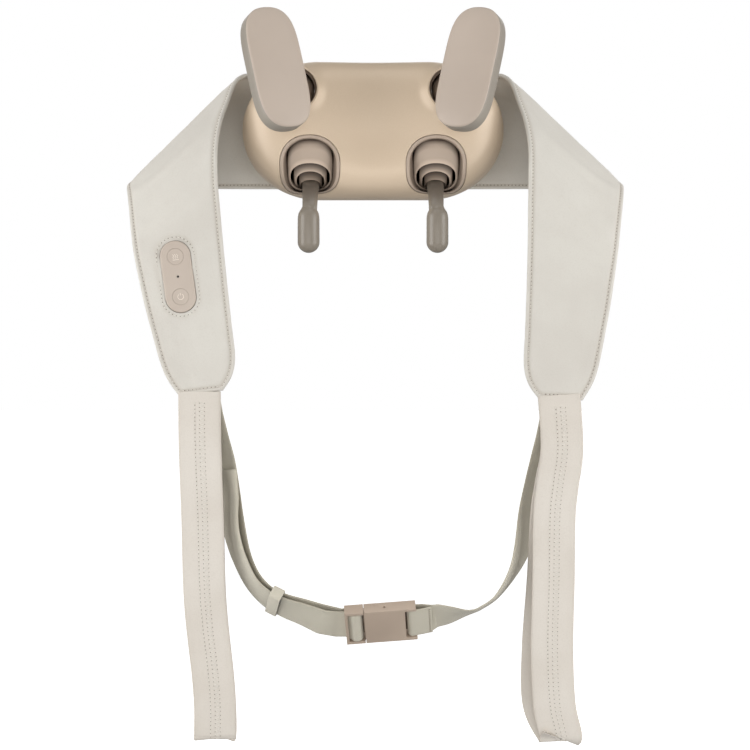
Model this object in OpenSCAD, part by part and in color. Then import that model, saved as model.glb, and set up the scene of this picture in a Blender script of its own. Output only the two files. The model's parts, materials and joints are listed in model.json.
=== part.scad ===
// Shiatsu neck massager, worn over the shoulders. Millimetres, +Z up, the wearer's neck is at -Y.
// The origin is where the nape rests, in the middle of the pod's front saddle.

/* [Pod] */
// Half of the pod's width
pod_a = 122; // [118:1:126]
// Half of the pod's depth
pod_b = 43; // [42:0.5:45]
// Half of the pod's height
pod_c = 64; // [63:0.5:66]
// Depth of the saddle that the nape rests in
saddle = 12; // [8:1:12]
// Wall of the plastic casing
wall = 2.3; // [2:0.1:2.5]

/* [Kneading paddles] */
// Width of a paddle
paddle_w = 51; // [46:1:54]
// Length of a paddle
paddle_l = 114; // [104:1:116]
// Thickness of a paddle, pad included
paddle_t = 20; // [18:0.5:20]
// Turn of a paddle's face towards the neck
paddle_yaw = 28; // [24:1:28]
// Angle that a paddle tips through
paddle_tip = 10.2857; // [10.2857]

/* [Kneading fingers] */
// Radius of a finger's silicone head
finger_r = 10; // [9:0.5:11]
// Distance of a finger from the middle of the pod
finger_x = 58; // [57:0.5:59]
// Angle that a finger swings through
finger_swing = 24; // [20:1:24]

/* [Soft parts] */
// Thickness of the padded shoulder arms
arm_t = 6; // [5:0.5:7]
// Width of the hand straps
hand_w = 38; // [34:1:40]
// Width of the webbing belt
belt_w = 32; // [25:1:32]
// Thickness of the webbing belt
belt_t = 1.6; // [1.2:0.1:1.6]

/* [Hidden] */
$fn = 48;

// Colours
champagne = [0.80, 0.70, 0.59];
taupe = [0.76, 0.69, 0.62];
warm_grey = [0.60, 0.57, 0.52];
ivory = [0.87, 0.85, 0.81];
webbing_grey = [0.74, 0.72, 0.66];
dark = [0.22, 0.20, 0.19];
steel = [0.72, 0.72, 0.73];
board_green = [0.12, 0.33, 0.22];

// ---- the pod's shape ----
pod_y = pod_b - saddle;      // middle of the pod's depth, so that the saddle's bottom is at the origin
pod_flat = 50;               // half of the stretch with a constant section
pod_n = 2.8;                 // squareness of the section
pod_split = 36;              // the two shells meet in this plane

// ---- kneading drive, in the YZ plane: [y, z] ----
gear_m = 1;
finger_teeth = 36;
paddle_teeth = 84;
pinion_teeth = 12;
finger_axis = [41, -19];
to_paddle = 116.57;          // direction of the paddle axis from the finger axis
to_motor = to_paddle - 180;  // direction of the motor axis, a whole number of finger teeth away
paddle_axis = finger_axis + polar((finger_teeth + paddle_teeth) * gear_m / 2, to_paddle);
motor_axis = finger_axis + polar((finger_teeth + pinion_teeth) * gear_m / 2, to_motor);
gear_x = 30;                 // the gears run in this plane on each side
gear_t = 5;
shaft_r = 4;
running = 0.05;              // radial clearance of a shaft in its bore
paddle_x = 72;
ball_r = 18;

// ---- telescoping hoods round a finger: outer radius, lowest and highest angle, half width ----
hood_t = 1.6;
outer_hood = [47.8, -56, 8.5, 20.8];
middle_hood = [44.7, -61, -14, 15.3];
inner_hood = [41.2, -70, -24, 10.7];
// their mouths: middle angle, half height, half width
outer_mouth = [-35.8, 14.9, 18.2];
middle_mouth = [-43.8, 11.5, 12.7];
inner_mouth = [-54, 7, 8.7];

// ---- hand and belt routes ----
panel_y = -36;               // plane of the arms' front panels
left_lean = 0.07;            // the left arm hangs this much further inwards as it goes down
control_at = [-175.5, -139.5];
control_tilt = -7.7;
button_pitch = 36.4;
buckle_at = [7.2, -40, -450.7];
buckle_tip = 38;
buckle_roll = -4.3;
buckle_w = 38.5;
buckle_t = 11.5;

// ---- functions ----
function polar(r, a) = r * [cos(a), sin(a)];
function lerp(a, b, t) = a + (b - a) * t;
function unit(v) = v / norm(v);
function smooth(t) = let (u = min(1, max(0, t))) u * u * (3 - 2 * u);
function reversed(v) = [for (i = [len(v) - 1 : -1 : 0]) v[i]];
function power(v, e) = sign(v) * pow(abs(v), e);
function blend(a, b, c, d, t) =
    0.5 * ((2 * b) + (c - a) * t + (2 * a - 5 * b + 4 * c - d) * t * t
        + (3 * b - a - 3 * c + d) * t * t * t);
// a smooth curve through the points of p, with n steps between neighbours
function spline(p, n) = let (last = len(p) - 1) [
    for (i = [0 : last - 1], k = [0 : n - 1])
        blend(p[max(0, i - 1)], p[i], p[i + 1], p[min(last, i + 2)], k / n),
    p[last]
];
// nearly straight along its sides, with full round ends
function long_oval(a, b, steps) = [
    for (k = [0 : steps - 1]) let (t = 360 * k / steps) [a * power(cos(t), 2 / 2.4), b * power(sin(t), 2 / 4.4)]
];
// half width, height above and height below: a round arch above and squarer below
function arch(a, above, below, n_below, steps) = [
    for (k = [0 : steps - 1])
        let (t = 360 * k / steps, up = sin(t) > 0, n = up ? 2.15 : n_below)
        [a * power(cos(t), 2 / n), (up ? above : below) * power(sin(t), 2 / n)]
];
function saddle_at(x, z) = saddle * exp(-pow(x / 42, 2)) * smooth((z + 62) / 57);
// one section of the pod at an end angle from -88 to 88, or in the straight stretch
function pod_ring(x, f, inset, steps) = [
    for (k = [0 : steps - 1])
        let (
            t = 360 * (k + 0.5) / steps,
            forward = power(cos(t), 2 / pod_n),
            z = (pod_c - inset) * f * power(sin(t), 2 / pod_n),
            y = pod_y - (pod_b - inset) * pow(f, 0.75) * forward
        )
        [x, y + (forward > 0 ? saddle_at(x, z) * sqrt(forward) : 0), z]
];
// depth of the pod's front face at x, z
function pod_front(x, z) = let (
    e = min(1, max(0, abs(x) - pod_flat) / (pod_a - pod_flat)),
    f = sqrt(1 - e * e),
    forward = pow(max(0, 1 - pow(abs(z) / (pod_c * f), pod_n)), 1 / pod_n)
) pod_y - pod_b * pow(f, 0.75) * forward + saddle_at(x, z) * sqrt(forward);
function pod_rings(inset, steps) = let (
    reach = pod_a - inset - pod_flat,
    ends = [18, 36, 52, 66, 77, 84, 88]
) concat(
    [for (e = reversed(ends)) pod_ring(pod_flat + reach * sin(e), cos(e), inset, steps)],
    [for (k = [3 : -1 : -3]) pod_ring(pod_flat * k / 3, 1, inset, steps)],
    [for (e = ends) pod_ring(-pod_flat - reach * sin(e), cos(e), inset, steps)]
);

// involute spur gear outline
function inv(a) = tan(a) * 180 / PI - a;
function half_tooth(z, r) = let (pitch = z * gear_m / 2, base = pitch * cos(20))
    90 / z - 0.1 * 180 / PI / pitch + inv(20) - (r > base ? inv(acos(base / r)) : 0);
function tooth(z, k) = let (
    pitch = z * gear_m / 2,
    radii = [pitch - 1.05, max(pitch * cos(20), pitch - 0.9), pitch - 0.2, pitch + 0.3, pitch + 0.75],
    at = 360 * k / z
) concat(
    [for (r = radii) polar(r, at - half_tooth(z, r))],
    [for (i = [4 : -1 : 0]) polar(radii[i], at + half_tooth(z, radii[i]))]
);
function teeth(z, first, last) = [for (k = [first : last]) each tooth(z, k)];

// ---- building blocks ----
// a closed solid through rings of points, each ring the same length
module skin(rings) {
    m = len(rings[0]);
    n = len(rings);
    last = (n - 1) * m;
    polyhedron(
        points = [for (r = rings) each r],
        faces = concat(
            [for (i = [0 : n - 2], j = [0 : m - 1])
                let (a = i * m + j, b = i * m + (j + 1) % m) each [[a, b + m, b], [a, a + m, b + m]]],
            [for (k = [0 : m / 2 - 2]) each
                [[k, k + 1, m - 1 - k], [k + 1, m - 2 - k, m - 1 - k]]],
            [for (k = [0 : m / 2 - 2]) each
                [[last + k, last + m - 1 - k, last + k + 1],
                 [last + k + 1, last + m - 1 - k, last + m - 2 - k]]]
        )
    );
}
// the same, closed into a ring
module hoop(rings) {
    m = len(rings[0]);
    n = len(rings);
    polyhedron(
        points = [for (r = rings) each r],
        faces = [for (i = [0 : n - 1], j = [0 : m - 1])
            let (a = i * m + j, b = i * m + (j + 1) % m, c = ((i + 1) % n) * m)
                each [[a, b, c + (j + 1) % m], [a, c + (j + 1) % m, c + j]]]
    );
}
// worked out as a single mesh, for shells whose cut edges need no true curves
module one_mesh() { resize([0, 0, 0]) children(); }
// a flat strap along a route of [x, y, z] points, with its width directions
module strap(route, across, width, thick) {
    last = len(route) - 1;
    skin([for (i = [0 : last])
        let (
            along = unit(route[min(last, i + 1)] - route[max(0, i - 1)]),
            side = unit(across[i] - (across[i] * along) * along) * width / 2,
            face = unit(cross(along, side)) * thick / 2
        )
        [route[i] + side + face, route[i] - side + face, route[i] - side - face, route[i] + side - face]
    ]);
}
// a round or oval bar along a route in the YZ plane: rows of [y, z, half width, half height]
module bar(rows, x, steps) {
    last = len(rows) - 1;
    skin([for (i = [0 : last])
        let (
            a = rows[max(0, i - 1)],
            b = rows[min(last, i + 1)],
            along = unit([b[0] - a[0], b[1] - a[1]]),
            up = [-along[1], along[0]]
        )
        [for (k = [0 : steps - 1]) let (t = 360 * k / steps)
            [x + rows[i][2] * cos(t),
             rows[i][0] - rows[i][3] * sin(t) * up[0],
             rows[i][1] - rows[i][3] * sin(t) * up[1]]]
    ]);
}
module rounded_rect(w, h, r) {
    union() {
        square([w - 2 * r, h], center = true);
        square([w, h - 2 * r], center = true);
        for (x = [-1, 1], y = [-1, 1]) translate([x * (w / 2 - r), y * (h / 2 - r)]) circle(r);
    }
}
module stadium(w, h) {
    union() {
        square([w, h - w], center = true);
        for (y = [-1, 1]) translate([0, y * (h - w) / 2]) circle(w / 2);
    }
}
// children drawn in the [x, z] plane and extruded along +Y from y0 to y1
module along_y(y0, y1) {
    translate([0, y1, 0]) rotate([90, 0, 0]) linear_extrude(y1 - y0) children();
}
// children drawn in the [y, z] plane and extruded along +X from x0 to x1
module along_x(x0, x1) {
    translate([x0, 0, 0]) rotate([90, 0, 90]) linear_extrude(x1 - x0) children();
}
module rod_x(x0, x1, at, r) {
    translate([x0, at[0], at[1]]) rotate([0, 90, 0]) cylinder(r = r, h = x1 - x0);
}
module rod_y(y0, y1, at, r) {
    translate([at[0], y0, at[1]]) rotate([-90, 0, 0]) cylinder(r = r, h = y1 - y0);
}
module left() { mirror([1, 0, 0]) children(); }

// ---- casing ----
screw_at = [[-98, -22], [-98, 22], [98, -22], [98, 22], [-45, 54], [45, 54]];
screw_seat = 56;
bezel_z = -34;
bezel_outside = arch(28, 26.2, 26.6, 3.4, 40);
bezel_inside = arch(24.2, 22.4, 25.2, 3.4, 40);
module pod_wall() {
    difference() {
        skin(pod_rings(0, 36));
        skin(pod_rings(wall, 36));
    }
}
module front_shell() {
    color(champagne) one_mesh() difference() {
        union() {
            pod_wall();
            intersection() {
                skin(pod_rings(wall / 2, 36));
                for (p = screw_at) rod_y(-20, pod_split, p, 4.5, $fn = 24);
            }
        }
        translate([-150, pod_split, -100]) cube([300, 100, 200]);
        for (p = screw_at) rod_y(20, pod_split + 1, p, 1.6, $fn = 24);
        for (s = [-1, 1]) {
            rod_y(-40, pod_split - 6, [s * paddle_x, paddle_axis[1]], 20.6, $fn = 48);
            translate([s * finger_x, 0, bezel_z]) along_y(-40, 20) polygon(bezel_outside);
        }
    }
}
module rear_cover() {
    color(champagne) one_mesh() difference() {
        union() {
            pod_wall();
            intersection() {
                skin(pod_rings(wall / 2, 36));
                for (p = screw_at) rod_y(pod_split, 100, p, 4.5, $fn = 24);
            }
        }
        translate([-150, -99.7 + pod_split, -100]) cube([300, 100, 200]);
        for (p = screw_at) {
            rod_y(20, 100, p, 1.6, $fn = 24);
            rod_y(screw_seat, 100, p, 3.1, $fn = 24);
        }
        translate([0, 48, -60]) cube([9.8, 4, 20], center = true);
    }
}
module case_screws() {
    color(steel) for (p = screw_at) union() {
        rod_y(24, screw_seat, p, 1.5);
        rod_y(screw_seat - 0.01, screw_seat + 2.2, p, 2.8);
    }
}
module back_band() {
    color(ivory) translate([0, 0, 3.5])
        along_y(pod_y + pod_b + 0.5, pod_y + pod_b + 0.5 + arm_t) rounded_rect(104, 107, 2);
}
module bezel() {
    outside = [for (p = bezel_outside) p * 0.99];
    inside = bezel_inside;
    function on(p, back) = let (x = finger_x + p[0], z = bezel_z + p[1]) [x, pod_front(x, z) + back, z];
    color(taupe) hoop([for (k = [0 : 39])
        [on(outside[k], -0.5), on(inside[k], 0.4), on(inside[k], 3), on(outside[k], 2.6)]]);
}
module socket_ring() {
    color(dark) difference() {
        rod_y(-2, 8, [paddle_x, paddle_axis[1]], 20.3);
        rod_y(-3, 9, [paddle_x, paddle_axis[1]], 18.4);
    }
}

// ---- drive ----
module gear_outline(z, phase) { rotate(phase) polygon(teeth(z, 0, z - 1)); }
module gear_frame() {
    plates = [[22, 25], [33.7, 36.7]];
    posts = [[62, -8], [12, -8], [24, 50]];
    color(warm_grey) difference() {
        union() {
            for (p = plates) along_x(p[0], p[1]) polygon([
                [6, 42], [12, 53], [28, 54], [30, 30], [56, 4], [67, -3], [67, -12], [60, -30],
                [62, -48], [46, -52], [34, -34], [26, -14], [8, -14]
            ]);
            along_x(80, 83) polygon([[33, -11], [33, -27], [50, -27], [67, -12], [67, -3], [58, -3]]);
            for (p = posts) rod_x(24.5, 34, p, 3);
            rod_x(36.5, 80.5, posts[0], 3);
        }
        rod_x(20, 90, finger_axis, shaft_r + running);
        rod_x(20, 40, paddle_axis, shaft_r + running);
        rod_x(20, 40, motor_axis, 2.5 + running);
    }
}
module drive_motor() {
    color(steel) difference() {
        union() {
            rod_x(-15, 15, motor_axis, 10);
            rod_x(-20.6, 20.6, motor_axis, 8);
        }
        rod_x(-30, 30, motor_axis, 2.5 + running);
    }
}
module drive_shaft() { color(steel) rod_x(-38.5, 38.5, motor_axis, 2.5); }
module pinion() {
    color(dark) along_x(gear_x - 3, gear_x + 3) translate(motor_axis) difference() {
        gear_outline(pinion_teeth, to_motor + 180 + 180 / pinion_teeth);
        circle(2.52);
    }
}
module finger_shaft() {
    color(steel) union() {
        rod_x(21.5, 84, finger_axis, shaft_r);
        rod_x(finger_x - 9, finger_x + 9, finger_axis, 9);
    }
}
module finger_gear() {
    color(ivory) along_x(gear_x - gear_t / 2, gear_x + gear_t / 2) translate(finger_axis) difference() {
        gear_outline(finger_teeth, to_paddle);
        circle(shaft_r + 0.02);
    }
}
module paddle_shaft() {
    color(steel) rod_x(21.5, paddle_x - ball_r + 6, paddle_axis, shaft_r);
}
module paddle_sector() {
    color(ivory) along_x(gear_x - gear_t / 2, gear_x + gear_t / 2)
        translate(paddle_axis) rotate(to_paddle + 180) difference() {
            union() {
                rotate(180 / paddle_teeth) polygon(concat(teeth(paddle_teeth, -5, 1), [[0, 5], [-5, 0], [-4, -6]]));
                circle(8);
            }
            circle(shaft_r + 0.02);
        }
}

// ---- hoods ----
module hood(shape, mouth) {
    r = shape[0];
    middle = (shape[1] + shape[2]) / 2;
    color(taupe) translate([finger_x, finger_axis[0], finger_axis[1]]) difference() {
        intersection() {
            difference() {
                sphere(r);
                sphere(r - hood_t);
            }
            along_x(-shape[3], shape[3]) polygon([
                [0, 0], for (a = [shape[1], middle, shape[2]]) 80 * [-cos(a), sin(a)]
            ]);
        }
        rotate([-mouth[0], 0, 0]) along_y(-60, -20) polygon(arch(mouth[2], mouth[1], mouth[1], 3, 40));
    }
}

// ---- fingers: rows of [y, z, half width, half height] ----
finger_neck = [
    [33, -27, 7.5, 4.6], [26, -38, 7.8, 4.2], [20, -47, 8, 3.8], [14.1, -51.4, 8, 3.8],
    [7, -54.3, 8, 3.9], [0, -57.8, 7.6, 4.5], [-7, -63, 7.2, 5.5], [-13, -69.5, 7, 6.4],
    [-17, -75, 6.8, 6.7], [-18.3, -77.5, 6.8, 6.8]
];
finger_head = [
    [-18.3, -77.6, 6.9, 6.9], [-18.6, -78.9, 8.2, 8.2], [-19, -81, 9.2, 9.2], [-19.6, -84.5, 9.9, 9.9],
    [-20.2, -90, 10, 10], [-20.4, -98, 10, 10], [-20.2, -106.5, 10, 10], [-20, -110.4, 9.4, 9.4],
    [-19.8, -113.4, 7.7, 7.7], [-19.6, -115.4, 5.4, 5.4], [-19.5, -116.4, 3.4, 3.4], [-19.5, -116.9, 1.2, 1.2]
];
module finger_arm() { color(warm_grey) bar(finger_neck, finger_x - 0.4, 20); }
module finger_tip() {
    color(warm_grey) bar([for (r = finger_head) [r[0], r[1], r[2] * finger_r / 10, r[3] * finger_r / 10]],
        finger_x + 0.6, 20);
}

// ---- paddles ----
paddle_at = [83.4, -45.5, 50];
module at_paddle() {
    translate(paddle_at) rotate([-13.3, 6.9, -paddle_yaw]) children();
}
// rings of the paddle outline: [depth behind the face, share of the size]
module paddle_slab(rows) {
    skin([for (r = rows) [for (p = long_oval(paddle_w / 2, paddle_l / 2, 44))
        let (shrink = r[1])
        [p[0] * (1 - 2 * shrink / paddle_w), r[0], p[1] * (1 - 2 * shrink / paddle_l)]]]);
}
pad_t = 4.2;
module paddle_pad() {
    color(taupe) at_paddle() paddle_slab([
        [pad_t, 0.3], [2.6, 0.1], [1.6, 1.2], [0.9, 4], [0.35, 9], [0, 20]
    ]);
}
module paddle_base() {
    color(warm_grey) at_paddle() paddle_slab([
        [paddle_t, 3.6], [paddle_t - 0.5, 1.6], [paddle_t - 1.6, 0.4], [paddle_t - 3, 0], [pad_t + 0.1, 0]
    ]);
}
module paddle_hub() {
    centre = [paddle_x, paddle_axis[0], paddle_axis[1]];
    color(taupe) difference() {
        translate(centre) rotate([90 + 3, 0, 9]) rotate_extrude() intersection() {
            union() {
                circle(ball_r);
                square([10, 40.5]);
            }
            translate([0, -50]) square([50, 100]);
        }
        rod_x(20, paddle_x - ball_r + 6.5, paddle_axis, shaft_r + 0.02);
    }
}

// ---- inside the pod ----
module main_board() {
    color(board_green) union() {
        translate([-19.5, 26, -30]) cube([39, 1.6, 55]);
        translate([-6, 27.5, -4]) cube([12, 2, 12]);
        translate([6, 27.5, -24]) cube([8, 4, 8]);
        translate([-16, 27.5, 10]) cube([9, 5, 6]);
    }
}
module battery_pack() {
    color([0.25, 0.42, 0.62]) for (p = [[53, 24], [51, 43.5]]) rod_x(-32.5, 32.5, p, 9.2);
}
module charge_port() {
    color(steel) translate([0, 48, -58.6]) difference() {
        cube([9, 3.2, 7.4], center = true);
        translate([0, 0, -1.5]) cube([8.3, 2.5, 6.5], center = true);
    }
}

// ---- shoulder arms: pairs of points on the inner and outer edge, as far as the hand strap ----
edge_pairs = [
    [[52.4, 77.5, 57], [52.4, 77.5, -50]], [[80, 76, 57.5], [100, 75, -50]],
    [[103, 68, 58], [150, 67, -50.5]], [[115, 54, 57], [192, 54, -51]],
    [[121, 40, 54.5], [217, 40, -51]], [[127.5, 25, 46], [228, 26, -51.5]],
    [[132.5, 8, 27], [231.5, 14, -54]], [[138.5, -6, 5], [230.5, 2, -62]],
    [[141.5, -17, -19], [228, -10, -76]], [[141, -27, -48], [225, -21, -94]],
    [[140, -33, -80], [222, -30, -114]], [[139.5, -36, -108], [219, -36, -132]],
    [[138.5, -36, -150], [214.5, -36, -163]], [[137, -36, -190], [209, -36, -193]],
    [[136, -36, -219], [203.5, -36, -220]], [[140, -36, -236], [198, -36, -236]],
    [[149, -36, -249], [189, -36, -251]]
];
// turned inwards below the shoulder, and drawn up a little as it turns
function leaned(p, lean) = let (u = max(0, -52 - p[2]), corner = exp(-pow((p[2] + 58) / 40, 2)))
    [p[0] - lean * u - 55 * lean * corner * smooth((p[0] - 150) / 60),
     p[1],
     p[2] + u * lean / 4 + lean * (200 - p[0]) * smooth(u / 100)];
module arm(lean) {
    inner = spline([for (e = edge_pairs) leaned(e[0], lean)], 2);
    outer = spline([for (e = edge_pairs) leaned(e[1], lean)], 2);
    last = len(inner) - 1;
    across = 4;
    function on(i, j) = lerp(inner[i], outer[i], j / across);
    function normal(i, j) = unit(cross(
        on(min(last, i + 1), j) - on(max(0, i - 1), j), outer[i] - inner[i]));
    skin([for (i = [0 : last]) concat(
        [for (j = [0 : across]) on(i, j) - normal(i, j) * arm_t / 2],
        [for (j = [across : -1 : 0]) on(i, j) + normal(i, j) * arm_t / 2]
    )]);
}
module control_hole(grow, y0, y1) {
    translate([control_at[0], 0, control_at[1]]) rotate([0, control_tilt, 0])
        along_y(y0, y1) stadium(28.5 + 2 * grow, 66 + 2 * grow);
}
module left_arm() {
    color(ivory) one_mesh() difference() {
        left() arm(left_lean);
        control_hole(0.1, -50, -20);
    }
}
module right_arm() { color(ivory) arm(0); }

// ---- controls on the left arm ----
module at_control(up) {
    translate([control_at[0], 0, control_at[1]]) rotate([0, control_tilt, 0])
        translate([0, 0, up]) children();
}
module control_case() {
    color(taupe) difference() {
        control_hole(0, -40.2, -34.5);
        control_hole(-1.5, -38.5, -34.4);
        for (s = [-1, 1]) at_control(s * button_pitch / 2) rod_y(-45, -30, [0, 0], 7.5);
        at_control(0) rod_y(-45, -30, [0, 0], 1.15);
    }
}
module control_back() { color(dark) control_hole(0, -34.4, -33.2); }
module control_board() { color(board_green) control_hole(-1.8, -35.9, -34.6); }
module button(up) {
    color(taupe) at_control(up) union() {
        rod_y(-40.1, -38.3, [0, 0], 7.3);
        rod_y(-38.31, -37.2, [0, 0], 8.3);
    }
}
module status_led() { color(dark) at_control(0) rod_y(-40, -36.2, [0, 0], 1.1); }

// ---- hand straps: rows of [x, z, bow of the front layer, bow of the back layer, shift of the back layer] ----
left_loop = [
    [-156.4, -243, 0, 0, 0], [-156, -291, 1, 2, 0], [-153.5, -354, 3, 5, -0.5],
    [-151, -431, 4, 8, -1], [-144, -497, 4, 9, -1.5], [-142, -527, 3, 7, -1], [-142.2, -549, 1, 3, 0]
];
right_loop = [
    [167.7, -246, 0, 0, 0], [170.4, -294, 1, 2, 0], [166, -328, 2, 4, -1], [163.2, -356, 3, 5, -2],
    [162.3, -414, 4, 8, -4], [161, -474, 4, 9, -7], [163.2, -524, 3, 8, -9], [169, -551, 1, 3, -2]
];
hand_t = 1.8;
module hand_strap(loop) {
    front = [for (r = loop) [r[0], panel_y - 1.6 - r[2], r[1]]];
    back = [for (k = [len(loop) - 1 : -1 : 0]) let (r = loop[k])
        [r[0] + r[4], panel_y + 1.6 + r[3], r[1]]];
    turn = loop[len(loop) - 1];
    fold = [[turn[0], panel_y - 1.5, turn[1] - 4.5], [turn[0] - 0.3, panel_y + 0.5, turn[1] - 6.5],
        [turn[0] - 0.6, panel_y + 3, turn[1] - 4.5]];
    route = spline(concat(front, fold, back), 3);
    color(ivory) strap(route, [for (p = route) [1, 0, 0.02]], hand_w, hand_t);
}

// ---- belt: rows of [x, y, z, turn of the webbing out of the picture plane] ----
left_belt = [
    [-155, -30, -243, 0], [-152, -28, -262, 8], [-145, -25, -285, 25], [-137, -22, -308, 38],
    [-130.5, -21, -333, 50], [-124.5, -22, -361, 58], [-117.5, -25, -390, 62], [-108, -29, -411, 62],
    [-95, -32, -426, 57], [-80, -34, -434, 52], [-62, -35, -440, 46], [-46, -34, -446, 40]
];
left_tail = [
    [-46, -39, -450.5, 40], [-62, -38.5, -444, 46], [-80, -37, -437.8, 52], [-96, -35, -429.5, 57],
    [-110, -32.5, -415.5, 62], [-121, -29.5, -394, 62], [-127.5, -26.8, -374, 60],
    [-130, -25.8, -357, 58], [-131, -25.6, -338, 52], [-134.5, -27, -314, 44]
];
right_belt = [
    [168, -30, -246, 0], [167, -28, -265, 5], [163, -24, -284, 18], [157, -20, -303, 30],
    [149.5, -18.5, -325, 42], [142, -19, -352, 50], [136, -22, -384, 57], [126, -27, -408, 70],
    [112, -31, -428, 78], [98, -34, -438, 79], [86, -35.5, -442.5, 76], [69.5, -37, -444.5, 55],
    [56, -38.5, -445, 42]
];
// a point given in the buckle's own frame: along it, back through it, up across it
function in_buckle(p) = let (
    c = cos(buckle_tip), s = sin(buckle_tip), d = cos(buckle_roll), e = sin(buckle_roll),
    q = [p[0], p[1] * c - p[2] * s, p[1] * s + p[2] * c]
) buckle_at + [q[0] * d + q[2] * e, q[1], -q[0] * e + q[2] * d];
module at_buckle() { translate(buckle_at) rotate([buckle_tip, buckle_roll, 0]) children(); }
left_bar = [-22.5, 0];
right_bar = [28, 0];
function wrap(at, r, from, to, n) = [for (k = [0 : n]) let (t = lerp(from, to, k / n))
    [at[0] + r * cos(t), at[1] + r * sin(t), 0]];
// width direction: turned by a from the picture plane, its inner edge nearer the wearer
function belt_across(rows, side) = let (last = len(rows) - 1) [for (i = [0 : last])
    let (
        a = rows[max(0, i - 1)],
        b = rows[min(last, i + 1)],
        t = unit([b[0] - a[0], b[2] - a[2]]),
        p = [-t[1], t[0]] * side
    )
    [p[0] * cos(rows[i][3]), -sin(rows[i][3]), p[1] * cos(rows[i][3])]];
function route_of(rows) = [for (r = rows) [r[0], r[1], r[2]]];
buckle_up = in_buckle([0, 0, 1]) - buckle_at;
module left_webbing() {
    turn = concat([[-36, 5.6, 0], [-28, 5.6, 0]], wrap(left_bar, 5.5, 90, -120, 10),
        [[-29, -1, 0], [-33, 1.6, 0], [-40, 2.2, 0]]);
    route = concat(spline(route_of(left_belt), 3), [for (p = turn) in_buckle(p)],
        spline(route_of(left_tail), 3));
    across = concat(spline(belt_across(left_belt, 1), 3), [for (p = turn) buckle_up],
        spline(belt_across(left_tail, -1), 3));
    color(webbing_grey) strap(route, across, belt_w, belt_t);
}
module right_webbing() {
    turn = concat([[46, 1.7, 0], [38, 3.4, 0]], wrap(right_bar, 3.7, 90, 270, 10),
        [[38, -2.2, 0], [46, -0.7, 0]]);
    route = concat(spline(route_of(right_belt), 3), [for (p = turn) in_buckle(p)]);
    across = concat(spline(belt_across(right_belt, -1), 3), [for (p = turn) buckle_up]);
    color(webbing_grey) strap(route, across, belt_w, belt_t);
}
keeper_at = [-88.4, -34.9, -432];
module strap_keeper() {
    along = unit([16, -2, -8]);
    wide = unit([0.26, -0.84, 0.48] - ([0.26, -0.84, 0.48] * along) * along);
    thin = cross(along, wide);
    color(webbing_grey) multmatrix([
        [wide[0], thin[0], along[0], keeper_at[0]],
        [wide[1], thin[1], along[1], keeper_at[1]],
        [wide[2], thin[2], along[2], keeper_at[2]],
        [0, 0, 0, 1]
    ]) linear_extrude(11, center = true) difference() {
        rounded_rect(belt_w + 4.4, 12.2, 3);
        rounded_rect(belt_w + 1.6, 9.4, 2);
    }
}

// ---- buckle ----
module block(x0, x1, y0, y1, z0, z1) {
    translate([x0, y0, z0]) cube([x1 - x0, y1 - y0, z1 - z0]);
}
rail = 2.8;
module buckle_receiver() {
    h = buckle_w / 2;
    t = buckle_t / 2;
    color(taupe) at_buckle() difference() {
        union() {
            block(-14.5, 22, -t, t, -h, h);
            block(21, 32, -t, t, h - rail, h);
            block(21, 32, -t, t, -h, -h + rail);
            translate([right_bar[0], 0, -h + 1]) cylinder(r = 2.2, h = buckle_w - 2);
        }
        block(-15, 11, -2.5, 2.5, -13, 13);
        translate([4, 0, h - 1.5]) cylinder(r = 1.1, h = 5);
    }
}
module buckle_tongue() {
    h = buckle_w / 2;
    t = buckle_t / 2;
    color(taupe) at_buckle() union() {
        block(-32, -15, -t, t, h - rail, h);
        block(-32, -15, -t, t, -h, -h + rail);
        block(-32, -29.6, -t, -1.9, -h, h);
        translate([left_bar[0], left_bar[1], -h + 1]) cylinder(r = 2.5, h = buckle_w - 2);
        block(-15.4, -14.6, -2, 2, -h + 1, h - 1);
        block(-15.2, 9, -2, 2, -5, 5);
        for (s = [-1, 1]) block(-15.2, 7, -2, 2, s * 10 - 2.4, s * 10 + 2.4);
    }
}

front_shell();
rear_cover();
back_band();
case_screws();
left_arm();
right_arm();
hand_strap(left_loop);  // left_hand_strap
hand_strap(right_loop);  // right_hand_strap
left_webbing();
right_webbing();
strap_keeper();
buckle_receiver();
buckle_tongue();
control_case();
control_back();
control_board();
button(button_pitch / 2);  // heat_button
button(-button_pitch / 2);  // power_button
status_led();
main_board();
charge_port();
battery_pack();
drive_motor();
drive_shaft();
left() pinion();  // left_pinion
pinion();  // right_pinion
left() gear_frame();  // left_gear_frame
gear_frame();  // right_gear_frame
left() bezel();  // left_bezel
bezel();  // right_bezel
left() socket_ring();  // left_socket_ring
socket_ring();  // right_socket_ring
left() hood(outer_hood, outer_mouth);  // left_outer_hood
hood(outer_hood, outer_mouth);  // right_outer_hood
left() hood(middle_hood, middle_mouth);  // left_middle_hood
hood(middle_hood, middle_mouth);  // right_middle_hood
left() hood(inner_hood, inner_mouth);  // left_inner_hood
hood(inner_hood, inner_mouth);  // right_inner_hood
left() finger_shaft();  // left_finger_shaft
finger_shaft();  // right_finger_shaft
left() finger_gear();  // left_finger_gear
finger_gear();  // right_finger_gear
left() finger_arm();  // left_finger_arm
finger_arm();  // right_finger_arm
left() finger_tip();  // left_finger_tip
finger_tip();  // right_finger_tip
left() paddle_shaft();  // left_paddle_shaft
paddle_shaft();  // right_paddle_shaft
left() paddle_sector();  // left_paddle_sector
paddle_sector();  // right_paddle_sector
left() paddle_hub();  // left_paddle_hub
paddle_hub();  // right_paddle_hub
left() paddle_base();  // left_paddle_base
paddle_base();  // right_paddle_base
left() paddle_pad();  // left_paddle_pad
paddle_pad();  // right_paddle_pad
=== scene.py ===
import json
import math

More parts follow.
